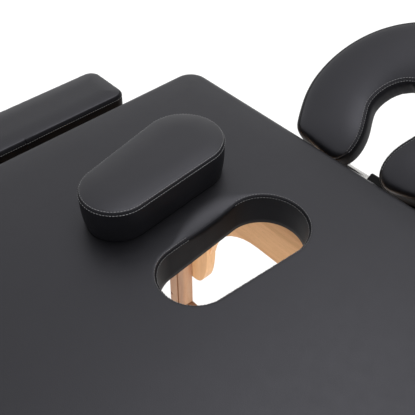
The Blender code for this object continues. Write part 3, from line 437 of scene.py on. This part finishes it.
def thread_material(name):
    """Twisted black sewing thread, painted grey and a little lighter than the leather, as a painted
    highlight along its stitches.
    """
    material, tree, shader, coords = build_material(name)
    light, dark = THREAD_PAINTED_HIGHLIGHT
    twist = noise(tree, coords, scale=1400.0, detail=2.0)
    set_inputs(tree, shader, Base_Color=ramp(tree, twist, ((0.30, dark), (0.70, light))), Roughness=0.42,
               Normal=bump(tree, twist, distance=0.0002, strength=0.5))
    return material


LEATHER = leather_material("soft_black_leather", rough=0.41, gloss=0.49)
# A less glossy copy of the leather, used as painted shade on the sides and walls that stand in shade
SHADED_SIDE_LEATHER = leather_material("soft_black_leather_painted_shade", rough=0.52, gloss=0.12)
THREAD = thread_material("black_thread")
WEBBING = webbing_material("black_webbing")

# Materials of the CAD nodes by slot, and where they have a grain by its axis too
PLAIN = {"leather": LEATHER, "webbing": WEBBING,
         "plastic": moulded_material("moulded_black_plastic", *BLACK_PLASTIC, rough=0.52, grain=0.30),
         "rubber": moulded_material("black_rubber", *BLACK_RUBBER, rough=0.78, grain=0.45)}
GRAINED = {}
for AXIS in GRAIN_SCALES:
    GRAINED["beech", AXIS] = wood_material(f"lacquered_beech_{AXIS}", AXIS, *BEECH)
    GRAINED["red_beech", AXIS] = wood_material(f"red_lacquered_beech_{AXIS}", AXIS, *RED_BEECH)
    GRAINED["plywood", AXIS] = plywood_material(f"birch_plywood_{AXIS}", AXIS)
    GRAINED["aluminium", AXIS] = metal_material(f"drawn_aluminium_{AXIS}", AXIS, ALUMINIUM, rough=0.27,
                                                brushing=0.25)
    GRAINED["steel", AXIS] = metal_material(f"zinc_steel_{AXIS}", AXIS, STEEL, rough=0.33, brushing=0.30)

UPRIGHT = ("upper_leg", "lower_leg")
CROSSWISE = ("end_rail", "fold_rail", "leg_arch", "stretcher", "hinge", "axle", "headrest_frame",
             "latch_stud")


def grain_axis(name):
    if any(word in name for word in UPRIGHT):
        return "z"
    return "y" if any(word in name for word in CROSSWISE) else "x"


def dress_nodes():
    """Give each carried-over node the material of its slot, with the grain along its length."""
    for name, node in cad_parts.items():
        slot = node.data.materials[0].name.split(".")[0]
        material = PLAIN[slot] if slot in PLAIN else GRAINED[slot, grain_axis(name)]
        node.data.materials.clear()
        node.data.materials.append(material)


# Lines, and meshes of rings: grid[ring, point] holds positions, and the rings may close on themselves

def unit(vectors):
    return vectors / np.maximum(np.linalg.norm(vectors, axis=-1, keepdims=True), TINY)


def travel_along(line):
    """Distance from a line's start to each of its points."""
    return np.concatenate([[0.0], np.cumsum(np.linalg.norm(np.diff(line, axis=0), axis=1))])


def interpolated(spots, travel, rows):
    """Rows of values, known at some distances of travel, at spots between them."""
    return np.stack([np.interp(spots, travel, column) for column in rows.T], axis=1)


def soft_step(value, start, end):
    share = np.clip((value - start) / (end - start), 0.0, 1.0)
    return share * share * (3 - 2 * share)


def signed_power(value, power):
    return np.copysign(abs(value) ** power, value)


def smooth_mesh(name, vertices, faces):
    mesh = bpy.data.meshes.new(name)
    mesh.from_pydata(vertices, [], faces)
    mesh.update()
    mesh.shade_smooth()
    return mesh


def grid_mesh(name, grid, closed_rings=False):
    """A mesh through a grid; unless its rings close on themselves, its first and last rings are capped."""
    rings, points = grid.shape[:2]
    number = np.arange(rings * points).reshape(rings, points).tolist()
    faces = []
    for ring in range(rings if closed_rings else rings - 1):
        lower, upper = number[ring], number[(ring + 1) % rings]
        for point in range(points):
            after = (point + 1) % points
            faces.append((lower[point], lower[after], upper[after], upper[point]))
    if not closed_rings:
        faces.append(number[0][::-1])
        faces.append(number[-1])
    return smooth_mesh(name, grid.reshape(-1, 3).tolist(), faces)


def grid_normals(grid, closed_rings=False, closed_points=True):
    """Outward normals of a grid whose points run anticlockwise and whose rings run upwards."""
    def change(axis, closed):
        if closed:
            return np.roll(grid, -1, axis) - np.roll(grid, 1, axis)
        return np.gradient(grid, axis=axis)
    return unit(np.cross(change(1, closed_points), change(0, closed_rings)))


def pressed_seam(grid, normals, seam, depth=SEAM_DEPTH):
    """The grid with a groove pressed in along one of its rings, slightly puckered beside it."""
    steps = np.linalg.norm(np.diff(grid, axis=0), axis=2)
    travel = np.concatenate([np.zeros((1, grid.shape[1])), np.cumsum(steps, axis=0)])
    away = (travel - travel[seam]) / SEAM_HALF
    along = np.cumsum(np.linalg.norm(np.roll(grid[seam], -1, axis=0) - grid[seam], axis=1))
    pucker = PUCKER_DEPTH * np.cos(FULL_TURN * along / PUCKER_PITCH) * np.exp(-(away / PUCKER_REACH) ** 2)
    return grid - normals * (depth * np.exp(-away ** 2) + pucker)[..., None]


def paint_shade_on_faces(mesh, marks):
    """Leather on a grid mesh, with painted shade on its marked faces, which take a duller, less glossy copy
    of it; the marks follow the order of its points.
    """
    mesh.materials.append(LEATHER)
    mesh.materials.append(SHADED_SIDE_LEATHER)
    for face, is_shaded in zip(mesh.polygons, marks):
        face.material_index = int(is_shaded)


def paint_shade_on_rings(mesh, grid, first, last):
    """Leather on a grid mesh, with painted shade, a duller copy of it, from one of its rings to another."""
    ring = np.arange(len(grid))
    paint_shade_on_faces(mesh, np.repeat((ring >= first) & (ring < last), grid.shape[1]))


def add_piece(mesh, body, node=None):
    """An object that rides on a body, and may stand for a node, whose part it hides."""
    piece = bpy.data.objects.new(mesh.name, mesh)
    bpy.context.scene.collection.objects.link(piece)
    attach(piece, body)
    if node:
        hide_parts(node)
    return piece


def add_cushion(mesh, body, node):
    add_piece(mesh, body, node)


# Stitches

def stitch_spots(path, normals):
    """Centre lines and upward directions of the stitches along a path on a surface."""
    travel = travel_along(path)
    count = max(int(travel[-1] / STITCH_PITCH), 1)
    pitch = travel[-1] / count
    share = np.linspace(0.0, 1.0, STITCH_STEPS + 1)
    for stitch in range(count):
        spots = stitch * pitch + STITCH_LENGTH * share
        yield interpolated(spots, travel, path), interpolated(spots, travel, normals)


def add_stitches(name, lines, body):
    """Rows of short stitches, each a small bowed capsule, along (path, normals) lines on a surface."""
    bow = np.sin(HALF_TURN * np.linspace(0.0, 1.0, STITCH_STEPS + 1))
    turns = np.arange(STITCH_SIDES) * FULL_TURN / STITCH_SIDES
    girth = STITCH_RADIUS * (STITCH_END_GIRTH + (1 - STITCH_END_GIRTH) * bow)
    vertices, faces = [], []
    for middle, up in [spot for line in lines for spot in stitch_spots(*line)]:
        run = unit(middle[-1] - middle[0])
        up = unit(up - np.outer(up @ run, run))
        side = np.cross(run, up)
        middle = middle + up * ((bow - STITCH_SINK) * STITCH_RADIUS)[:, None]
        first = len(vertices)
        for place in range(STITCH_STEPS + 1):
            for turn in turns:
                spoke = math.cos(turn) * side[place] + math.sin(turn) * up[place]
                vertices.append((middle[place] + girth[place] * spoke).tolist())
        for place in range(STITCH_STEPS):
            low = first + place * STITCH_SIDES
            high = low + STITCH_SIDES
            for index in range(STITCH_SIDES):
                after = (index + 1) % STITCH_SIDES
                faces.append((low + index, high + index, high + after, low + after))
        last = first + STITCH_STEPS * STITCH_SIDES
        faces.append(tuple(range(first, first + STITCH_SIDES)))
        faces.append(tuple(range(last + STITCH_SIDES - 1, last - 1, -1)))
    mesh = smooth_mesh(name, vertices, faces)
    mesh.materials.append(THREAD)
    add_piece(mesh, body)


def sew(name, grid, normals, rings, body, closed=True):
    """One object of stitches along each of some rings of a surface."""
    for index, ring in enumerate(rings):
        path, ups = grid[ring], normals[ring]
        if closed:
            path, ups = np.concatenate([path, path[:1]]), np.concatenate([ups, ups[:1]])
        add_stitches(f"{name}_{index + 1}", [(path, ups)], body)


# Cushions with a rounded rectangular outline

def edge_shares(count, seam=None, length=1.0):
    """Even places along an edge, from 0 to 1, and closer ones beside a seam across it."""
    shares = np.arange(1, count + 1) / (count + 1)
    if seam is None:
        return shares
    close = seam + NEAR_SEAM / length
    shares = shares[(shares < close[0]) | (shares > close[-1])]
    return np.sort(np.concatenate([shares, close]))


def rounded_outline(low, high, radii, inset, edges):
    """Points round a rectangle with rounded corners, drawn in by the inset, from its +X +Y corner."""
    arcs = []
    for index, (signs, radius) in enumerate(zip(((1, 1), (-1, 1), (-1, -1), (1, -1)), radii)):
        corner = np.array([high[axis] if sign > 0 else low[axis] for axis, sign in enumerate(signs)])
        left = max(radius - inset, min(radius, TIGHT_CORNER))
        centre = corner - np.array(signs) * (inset + left)
        angles = QUARTER_TURN * (index + np.arange(ARC_STEPS + 1) / ARC_STEPS)
        arcs.append(centre + left * np.stack([np.cos(angles), np.sin(angles)], axis=1))
    points = []
    for arc, following, shares in zip(arcs, arcs[1:] + arcs[:1], edges):
        points.append(arc)
        points.append(arc[-1] + (following[0] - arc[-1]) * shares[:, None])
    return np.concatenate(points)


def cushion_curve(thick, edge_round, draw_in, crown, crown_reach):
    """A fine (inset, height) line up a cushion's side, round its top edge and over its crown."""
    shoulder = thick - crown - edge_round
    rise = np.linspace(0.0, 1.0, SIDE_STEPS)
    side = np.stack([draw_in * (1 - rise) ** SIDE_POWER, shoulder * rise], axis=1)
    turns = np.linspace(0.0, QUARTER_TURN, EDGE_STEPS)
    insets = edge_round * (1 - np.cos(turns))
    heights = shoulder + edge_round * np.sin(turns)
    slopes = 2 * (thick - heights) / (crown_reach - insets)
    stop = int(np.argmax(np.tan(QUARTER_TURN - turns[1:-1]) < slopes[1:-1])) + 1
    edge = np.stack([insets[1:stop], heights[1:stop]], axis=1)
    share = np.linspace(0.0, 1.0, CROWN_STEPS)[1:]
    over = np.stack([insets[stop] + (crown_reach - insets[stop]) * share,
                     thick - (thick - heights[stop]) * (1 - share) ** 2], axis=1)
    return np.concatenate([side, edge, over])


def even_spots(length):
    return np.linspace(0.0, length, int(length / RING_STEP) + 1)


def even_rows(curve):
    """Rows of (inset, height) at even steps along a cushion's curve."""
    travel = travel_along(curve)
    return interpolated(even_spots(travel[-1]), travel, curve)


def seamed_rows(curve, seam_inset):
    """The same, with closer rows beside a seam in the rounded edge; returns them and the seam's row."""
    travel = travel_along(curve)
    seam = np.interp(seam_inset, curve[SIDE_STEPS:, 0], travel[SIDE_STEPS:])
    close = seam + NEAR_SEAM
    even = even_spots(travel[-1])
    even = even[(even < close[0] - RING_GAP) | (even > close[-1] + RING_GAP)]
    spots = np.sort(np.concatenate([even, close]))
    return interpolated(spots, travel, curve), int(np.argmin(abs(spots - seam)))


def cushion_grid(low, high, radii, rows, edges):
    rings = []
    for inset, height in rows:
        flat = rounded_outline(low, high, radii, inset, edges)
        rings.append(np.column_stack([flat, np.full(len(flat), low.z + height)]))
    return np.array(rings)


def closed_top(grid):
    """The grid with more rings that gather its top onto a short line along its longer way."""
    last = grid[-1]
    centre = (last.min(axis=0) + last.max(axis=0)) / 2
    half = (last.max(axis=0) - last.min(axis=0))[:2] / 2
    core = np.tile(centre, (len(last), 1))
    longer = int(np.argmax(half))
    reach = half[longer] - half[1 - longer]
    core[:, longer] = centre[longer] + np.clip(last[:, longer] - centre[longer], -reach, reach)
    return np.concatenate([grid, [last + (core - last) * share for share in TOP_SHARES]])


# Face hole

def hole_points(directions, grow, longer=0.0):
    """Where rays from the face hole's middle cross its edge, grown outward; grow is one value per ray."""
    straight = (HOLE_LENGTH + longer - HOLE_WIDTH) / 2
    near = np.zeros(len(directions))
    far = np.full(len(directions), HOLE_LENGTH)
    for _ in range(HOLE_HALVINGS):
        reach = (near + far) / 2
        spots = directions * reach[:, None]
        along = np.clip(spots[:, 0], -straight, straight)
        radius = HOLE_WIDTH / 2 + HOLE_TAPER * along / straight + grow
        inside = np.hypot(spots[:, 0] - along, spots[:, 1]) < radius
        near = np.where(inside, reach, near)
        far = np.where(inside, far, reach)
    return HOLE_CENTRE + directions * near[:, None]


def rim_pull(directions):
    """How far each ray's rim is drawn down: 1 in the middle of the hole's left side, 0 elsewhere."""
    edge = hole_points(directions, np.zeros(len(directions))) - HOLE_CENTRE
    along = 1 - soft_step(abs(edge[:, 0] - RIM_PULL_SHIFT), RIM_PULL_NEAR, RIM_PULL_FAR)
    return along * soft_step(edge[:, 1], 0.0, HOLE_WIDTH / 4)


def rim_rings(directions, pull):
    """Rings from the flat top over the rim and down the hole's wall; returns them and the seam's ring."""
    turns = np.linspace(0.0, QUARTER_TURN, RIM_STEPS)
    wall = np.array([[-SKIRT_INSIDE - SKIRT_THICK, PAD_THICK]])
    rows = []
    for amount in pull:
        width = RIM_ROUND + RIM_PULL_WIDTH * amount
        drop = RIM_ROUND + RIM_PULL_DROP * amount
        bend = np.stack([width * (1 - np.sin(turns)), drop * (1 - np.cos(turns))], axis=1)
        start = np.array([[width + RIM_FLAT * (1 - RIM_FLAT_LOSS * amount), 0.0]])
        curve = np.concatenate([start, bend, wall])
        travel = travel_along(curve)
        seam = np.interp(RIM_ROUND * RIM_SEAM_SHARE + RIM_SEAM_DROP * amount, curve[:, 1], travel)
        before = np.linspace(0.0, seam + NEAR_SEAM[0], RIM_RINGS_BEFORE + 1)[:-1]
        after = np.linspace(seam + NEAR_SEAM[-1], travel[-1], RIM_RINGS_AFTER + 1)[1:]
        rows.append(interpolated(np.concatenate([before, seam + NEAR_SEAM, after]), travel, curve))
    rings = []
    for outward, down in np.array(rows).transpose(1, 2, 0):
        rings.append(np.column_stack([hole_points(directions, outward), TABLE_HEIGHT - down]))
    return np.array(rings), RIM_RINGS_BEFORE + len(BESIDE_SEAM)


def skirt_rings(directions):
    """Leather wrapped down past the base board, and back up on its other side."""
    low = BOARD_BOTTOM - SKIRT_BELOW
    inside, outside = -SKIRT_INSIDE - SKIRT_THICK, -SKIRT_INSIDE
    rows = ((inside, low), (outside, low), (outside, PAD_LOW.z))
    count = len(directions)
    return [np.column_stack([hole_points(directions, np.full(count, grow)), np.full(count, height)])
            for grow, height in rows]


# Soft pieces

def pad_rows():
    return even_rows(cushion_curve(PAD_THICK, PAD_EDGE_ROUND, PAD_DRAW_IN, PAD_CROWN, PAD_CROWN_REACH))


def add_head_pad():
    radii = (PAD_CORNER, PAD_FOLD_CORNER, PAD_FOLD_CORNER, PAD_CORNER)
    edges = [edge_shares(count) for count in HEAD_PAD_EDGES]
    outer = cushion_grid(PAD_LOW, PAD_HIGH, radii, pad_rows(), edges)
    directions = unit(rounded_outline(PAD_LOW, PAD_HIGH, radii, 0.0, edges) - HOLE_CENTRE)
    pull = rim_pull(directions)
    rim, seam = rim_rings(directions, pull)
    shares = np.linspace(0.0, 1.0, HEAD_TOP_RINGS + 2)[1:-1]
    top = [outer[-1] + (rim[0] - outer[-1]) * share for share in shares]
    grid = np.concatenate([outer, top, rim, skirt_rings(directions)])
    seam += len(outer) + len(top)
    normals = grid_normals(grid, closed_rings=True)
    grid = pressed_seam(grid, normals, seam, SEAM_DEPTH * (1 - RIM_SEAM_EASE * pull))
    mesh = grid_mesh("head_pad_cover", grid, closed_rings=True)
    # Painted shade: the duller leather copy from the rim's seam down the hole's wall and skirt
    paint_shade_on_rings(mesh, grid, seam, len(grid))
    add_cushion(mesh, "head_half", "head_pad")
    sewn = np.roll(np.arange(len(pull)), -int(np.argmax(pull)))
    sewn = sewn[pull[sewn] < RIM_STITCH_PULL]
    sew("face_hole_stitches", grid[:, sewn], normals[:, sewn], (seam - STITCH_RINGS, seam + STITCH_RINGS),
        "head_half", closed=False)


def add_foot_pad():
    low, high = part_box("foot_pad")
    radii = (PAD_FOLD_CORNER, PAD_CORNER, PAD_CORNER, PAD_FOLD_CORNER)
    edges = [edge_shares(count) for count in FOOT_PAD_EDGES]
    mesh = grid_mesh("foot_pad_cover", closed_top(cushion_grid(low, high, radii, pad_rows(), edges)))
    mesh.materials.append(LEATHER)
    add_cushion(mesh, "foot_half", "foot_pad")


def add_plug():
    low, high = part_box("face_hole_plug")
    curve = cushion_curve(high.z - low.z, PLUG_EDGE_ROUND, PLUG_DRAW_IN, PLUG_CROWN, PLUG_CROWN_REACH)
    rows, seam = seamed_rows(curve, PLUG_EDGE_ROUND * PLUG_SEAM_SHARE)
    turns = np.arange(PLUG_POINTS) * FULL_TURN / PLUG_POINTS
    directions = unit(np.stack([HOLE_LENGTH * np.cos(turns), HOLE_WIDTH * np.sin(turns)], axis=1))
    rings = []
    for inset, height in rows:
        grow = np.full(PLUG_POINTS, PLUG_SQUEEZE - inset)
        flat = hole_points(directions, grow, PLUG_LONGER) - HOLE_CENTRE
        rings.append(np.column_stack([flat, np.full(PLUG_POINTS, height)]))
    grid = closed_top(np.array(rings))
    turn = np.array(Matrix.Rotation(PLUG_TURN, 3, "Z"))
    grid = grid @ turn.T + np.array((HEAD_X - PLUG_FROM_HEAD, PLUG_FROM_CENTRE, low.z))
    normals = grid_normals(grid)
    grid = pressed_seam(grid, normals, seam)
    mesh = grid_mesh("plug_cover", grid)
    # Painted shade: the duller leather copy on the plug's side band, below its seam
    paint_shade_on_rings(mesh, grid, 0, seam)
    add_cushion(mesh, "face_hole_plug", "face_hole_plug")
    sew("plug_stitches", grid, normals, (seam - STITCH_RINGS, seam + STITCH_RINGS), "face_hole_plug")


def add_armrest(hand):
    low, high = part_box(f"armrest_pad_{hand}")
    curve = cushion_curve(high.z - low.z, ARM_EDGE_ROUND, ARM_DRAW_IN, ARM_CROWN, ARM_CROWN_REACH)
    rows, seam = seamed_rows(curve, ARM_EDGE_ROUND * ARM_SEAM_SHARE)
    length = high.x - low.x - 2 * ARM_CORNER
    cross_x = HEAD_X - ARM_CROSS_SEAM_FROM_HEAD
    cross_share = (cross_x - low.x - ARM_CORNER) / length
    short_edge = edge_shares(ARM_SHORT_EDGE)
    edges = [edge_shares(ARM_LONG_EDGE, 1 - cross_share, length), short_edge,
             edge_shares(ARM_LONG_EDGE, cross_share, length), short_edge]
    grid = closed_top(cushion_grid(low, high, [ARM_CORNER] * 4, rows, edges))
    normals = grid_normals(grid)
    grid = pressed_seam(grid, normals, seam, ARM_SEAM_DEPTH)
    table_side = -1 if hand == "left" else 1
    on_side = soft_step(table_side * normals[..., 1], *ARM_SIDE_FACING)
    past = grid[..., 0] - cross_x
    groove = SEAM_DEPTH * np.exp(-(past / SEAM_HALF) ** 2)
    lip = ARM_LIP * soft_step(past, 0.0, SEAM_HALF) * np.exp(-np.maximum(past, 0.0) / ARM_LIP_LENGTH)
    grid = grid + normals * (on_side * (lip - groove))[..., None]
    mesh = grid_mesh(f"armrest_cover_{hand}", grid)
    # Painted shade: the duller leather copy on the armrest's sides, up past its seam onto the edge's
    # rounding
    paint_shade_on_rings(mesh, grid, 0, seam + ARM_SHADED_RINGS)
    add_cushion(mesh, f"armrest_{hand}", f"armrest_pad_{hand}")
    sew(f"armrest_stitches_{hand}", grid, normals, (seam - ARM_STITCH_RINGS,), f"armrest_{hand}")


def spine_angles():
    """Angles along the headrest's spine, closer at its two tips."""
    quarter = np.linspace(TIP_START, QUARTER_TURN, TIP_RINGS + 1)[:-1]
    tips = SPINE_END - TIP_SPAN * (1 - np.cos(quarter))
    between = np.linspace(SPINE_END - TIP_SPAN, TIP_SPAN - SPINE_END, SPINE_RINGS)
    return np.concatenate([tips, between, -tips[::-1]])


def spine_points(angles):
    """A horseshoe: half an ellipse, and past its ends two legs that draw together."""
    past = SPINE_FAR * np.maximum(abs(angles) - QUARTER_TURN, 0.0)
    draw = TIP_DRAW * np.sin(QUARTER_TURN * past / SPINE_NEAR) ** 2
    round_end = np.stack([SPINE_CENTRE + SPINE_FAR * np.cos(angles), SPINE_SIDE * np.sin(angles)], axis=1)
    straight = np.stack([SPINE_CENTRE - past, np.copysign(SPINE_SIDE - draw, angles)], axis=1)
    return np.where((past > 0)[:, None], straight, round_end)


def section_turns():
    """Turns round the headrest's section, closer beside its seam; returns them and the seam's place."""
    even = np.linspace(0.0, FULL_TURN, SECTION_TURNS + 1)[:-1]
    close = SECTION_SEAM + NEAR_SECTION_SEAM
    even = even[(even < close[0] - SECTION_SEAM_GAP) | (even > close[-1] + SECTION_SEAM_GAP)]
    turns = np.sort(np.concatenate([even, close]))
    return turns, int(np.argmin(abs(turns - SECTION_SEAM)))


def headrest_grid(angles, turns):
    """Rings along the headrest's spine, one for each turn round its section."""
    share = np.minimum((SPINE_END - abs(angles)) / TIP_SPAN, 1.0)
    fullness = (1 - (1 - share) ** TIP_FULLNESS) ** (1 / TIP_FULLNESS)
    half_width = CUSHION_HALF_WIDTH * fullness
    lean = TIP_LEAN * (CUSHION_HALF_WIDTH - half_width)
    height = TIP_HEIGHT + (CUSHION_THICK - TIP_HEIGHT) * fullness - CUSHION_CROWN
    run = unit(spine_points(angles + SPINE_SLOPE_STEP) - spine_points(angles - SPINE_SLOPE_STEP))
    across = np.stack([run[:, 1], -run[:, 0]], axis=1)
    rings = []
    sides = signed_power(np.cos(turns), SECTION_POWER)
    rises = signed_power(np.sin(turns), SECTION_POWER)
    for side, rise in zip(sides, rises):
        crown = CUSHION_CROWN * (1 - side ** 2) if rise > 0 else 0.0
        flat = spine_points(angles) + across * (side * half_width - lean)[:, None]
        rings.append(np.column_stack([flat, CUSHION_BOTTOM + height * (1 + rise) / 2 + crown]))
    return np.array(rings)


def add_headrest():
    frame_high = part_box("headrest_frame")[1]
    tube = np.array((frame_high.x - TUBE_RADIUS, 0.0, frame_high.z - TUBE_RADIUS))
    askew = np.array(Matrix.Rotation(CUSHION_TURN, 3, "Z"))
    tilt = np.array(Matrix.Rotation(-HEADREST_TILT, 3, "Y"))
    angles = spine_angles()
    turns, seam = section_turns()
    grid = headrest_grid(angles, turns) @ askew.T + np.array((0.0, CUSHION_SHIFT, 0.0))
    grid = grid @ tilt.T + tube
    normals = -grid_normals(grid, closed_rings=True, closed_points=False)
    grid = pressed_seam(grid, normals, seam)
    round_fade = np.exp(-((turns - HALF_TURN) / WRINKLE_TURNS) ** 2)
    inside = round_fade[:, None] * np.exp(-(angles / WRINKLE_ANGLES) ** 2)
    sway = WRINKLE_SWAY * np.sin(WRINKLE_SWAY_COUNT * angles)
    wrinkles = np.sin(WRINKLE_COUNT * angles + sway + WRINKLE_SLANT * turns[:, None])
    grid = grid + normals * (WRINKLE_DEPTH * inside * wrinkles)[..., None]
    mesh = grid_mesh("headrest_cover", grid.transpose(1, 0, 2))
    # Painted shade: the duller leather copy on the headrest's sides, below its section seam
    on_side = (turns > SECTION_SEAM) | (turns < HALF_TURN - SECTION_SEAM)
    paint_shade_on_faces(mesh, np.tile(on_side, len(angles)))
    add_cushion(mesh, "headrest_tilting", "headrest_cushion")
    sewn = slice(HEADREST_UNSEWN_RINGS, -HEADREST_UNSEWN_RINGS)
    sew("headrest_stitches", grid[:, sewn], normals[:, sewn],
        (seam - HEADREST_STITCH_RINGS, seam + HEADREST_STITCH_RINGS), "headrest_tilting", closed=False)


# Carry straps

def straight_line(corners):
    """Points along a row of corners."""
    shares = np.linspace(0.0, 1.0, STRAP_LINE_STEPS)[:, None]
    return np.concatenate([start + (stop - start) * shares for start, stop in zip(corners, corners[1:])])


def add_strap(end):
    """Woven strap with a raised grip, its edges and its two tabs sewn."""
    low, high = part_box(f"carry_strap_{end}")
    middle = np.array(((low.x + high.x) / 2, high.y, (low.z + high.z) / 2))
    half, tall = (high.x - low.x) / 2, (high.z - low.z) / 2
    reach = np.linspace(-half, half, STRAP_RINGS)
    climb = np.clip((half - STRAP_TAB - abs(reach)) / STRAP_STAND_OFF, 0.0, 1.0)
    rise = STRAP_THICK / 2 + STRAP_STAND_OFF * (1 - np.cos(HALF_TURN * climb)) / 2
    line = np.stack([reach, -rise], axis=1)
    run = unit(np.gradient(line, axis=0))
    out = np.stack([run[:, 1], -run[:, 0]], axis=1)
    turns = np.arange(STRAP_POINTS) * FULL_TURN / STRAP_POINTS
    up = tall * signed_power(np.cos(turns), STRAP_EDGE_POWER)
    thick = STRAP_THICK / 2 * signed_power(np.sin(turns), STRAP_FACE_POWER)
    flat = line[:, None, :] + out[:, None, :] * thick[None, :, None]
    grid = middle + np.concatenate([flat, np.broadcast_to(up[None, :, None], (*flat.shape[:2], 1))], axis=2)
    mesh = grid_mesh(f"carry_strap_cover_{end}", grid)
    mesh.materials.append(WEBBING)
    add_piece(mesh, f"{end}_half", f"carry_strap_{end}")
    lines = []
    grip = climb > 0
    outward = np.column_stack([out, np.zeros(STRAP_RINGS)])
    for edge in (STRAP_STITCH_EDGE - tall, tall - STRAP_STITCH_EDGE):
        face = np.column_stack([line + out * STRAP_THICK / 2, np.full(STRAP_RINGS, edge)])
        lines.append((middle + face[grip], outward[grip]))
    box_top = tall - STRAP_BOX_EDGE
    for side in (-1, 1):
        far, near = side * (half - STRAP_BOX_EDGE), side * (half - STRAP_TAB + STRAP_BOX_EDGE / 2)
        places = ((far, -box_top), (near, -box_top), (near, box_top), (far, box_top))
        box = [np.array((x, -STRAP_THICK, z)) for x, z in places]
        for corners in ([*box, box[0], box[2]], [box[1], box[3]]):
            path = middle + straight_line(corners)
            lines.append((path, np.tile((0.0, -1.0, 0.0), (len(path), 1))))
    add_stitches(f"carry_strap_stitches_{end}", lines, f"{end}_half")


# Floor, light and camera

def joined(tree, kind, *outputs):
    node = tree.nodes.new(kind)
    for socket, output in zip(node.inputs, outputs):
        tree.links.new(output, socket)
    return node


def shown_or_plain(tree, plain, shown):
    """The shown shader for rays from the camera, gloss and glass, and the plain one for all others."""
    path = tree.nodes.new("ShaderNodeLightPath")
    is_shown = path.outputs["Is Camera Ray"]
    for kind in ("Is Glossy Ray", "Is Transmission Ray"):
        is_shown = math_node(tree, "MAXIMUM", is_shown, path.outputs[kind])
    return joined(tree, "ShaderNodeMixShader", is_shown, plain.outputs[0], shown.outputs[0])


def add_floor():
    corners = [(x * FLOOR_REACH, y * FLOOR_REACH, 0.0) for x, y in ((-1, -1), (1, -1), (1, 1), (-1, 1))]
    mesh = bpy.data.meshes.new("floor")
    mesh.from_pydata(corners, [], [(0, 1, 2, 3)])
    floor = bpy.data.objects.new("floor", mesh)
    bpy.context.scene.collection.objects.link(floor)
    material = bpy.data.materials.new("pale_floor")
    material.use_nodes = True
    tree = material.node_tree
    tree.nodes.clear()
    plain = add_node(tree, "ShaderNodeBsdfDiffuse", Color=FLOOR_PLAIN)
    shaded = add_node(tree, "ShaderNodeBsdfDiffuse", Color=FLOOR_SHADED)
    glow = add_node(tree, "ShaderNodeEmission", Color=WHITE, Strength=FLOOR_GLOW)
    shown = joined(tree, "ShaderNodeAddShader", shaded.outputs[0], glow.outputs[0])
    add_node(tree, "ShaderNodeOutputMaterial", Surface=shown_or_plain(tree, plain, shown).outputs[0])
    mesh.materials.append(material)


def add_world():
    world = bpy.data.worlds.new("studio")
    bpy.context.scene.world = world
    world.use_nodes = True
    tree = world.node_tree
    tree.nodes.clear()
    fill = add_node(tree, "ShaderNodeBackground", Color=WHITE, Strength=WORLD_FILL)
    white = add_node(tree, "ShaderNodeBackground", Color=WHITE, Strength=1.0)
    add_node(tree, "ShaderNodeOutputWorld", Surface=shown_or_plain(tree, fill, white).outputs[0])


def add_lamp(name, place, target, size, watts, in_gloss):
    data = bpy.data.lights.new(name, "AREA")
    data.shape = "RECTANGLE"
    data.size, data.size_y = size
    data.energy = watts
    lamp = bpy.data.objects.new(name, data)
    lamp.location = place
    lamp.rotation_euler = (Vector(target) - Vector(place)).to_track_quat("-Z", "Y").to_euler()
    lamp.visible_camera = False
    lamp.visible_glossy = in_gloss
    bpy.context.scene.collection.objects.link(lamp)


def add_camera():
    data = bpy.data.cameras.new("camera")
    data.sensor_width = CAMERA_SENSOR
    data.lens = CAMERA_LENS
    camera = bpy.data.objects.new("camera", data)
    ahead = Vector((math.cos(CAMERA_HEADING) * math.cos(CAMERA_PITCH),
                    math.sin(CAMERA_HEADING) * math.cos(CAMERA_PITCH), -math.sin(CAMERA_PITCH)))
    camera.location = (HEAD_X - CAMERA_BEHIND_HEAD, CAMERA_SIDE, TABLE_HEIGHT + CAMERA_OVER_TOP)
    camera.rotation_mode = "QUATERNION"
    camera.rotation_quaternion = ahead.to_track_quat("-Z", "Y")
    bpy.context.scene.collection.objects.link(camera)
    bpy.context.scene.camera = camera


dress_nodes()
add_head_pad()
add_foot_pad()
add_plug()
for HAND in ("left", "right"):
    add_armrest(HAND)
add_headrest()
for END in ("head", "foot"):
    add_strap(END)
add_floor()
add_world()
for LAMP in LAMPS:
    add_lamp(*LAMP)
add_camera()
bpy.context.scene.view_settings.view_transform = "Standard"
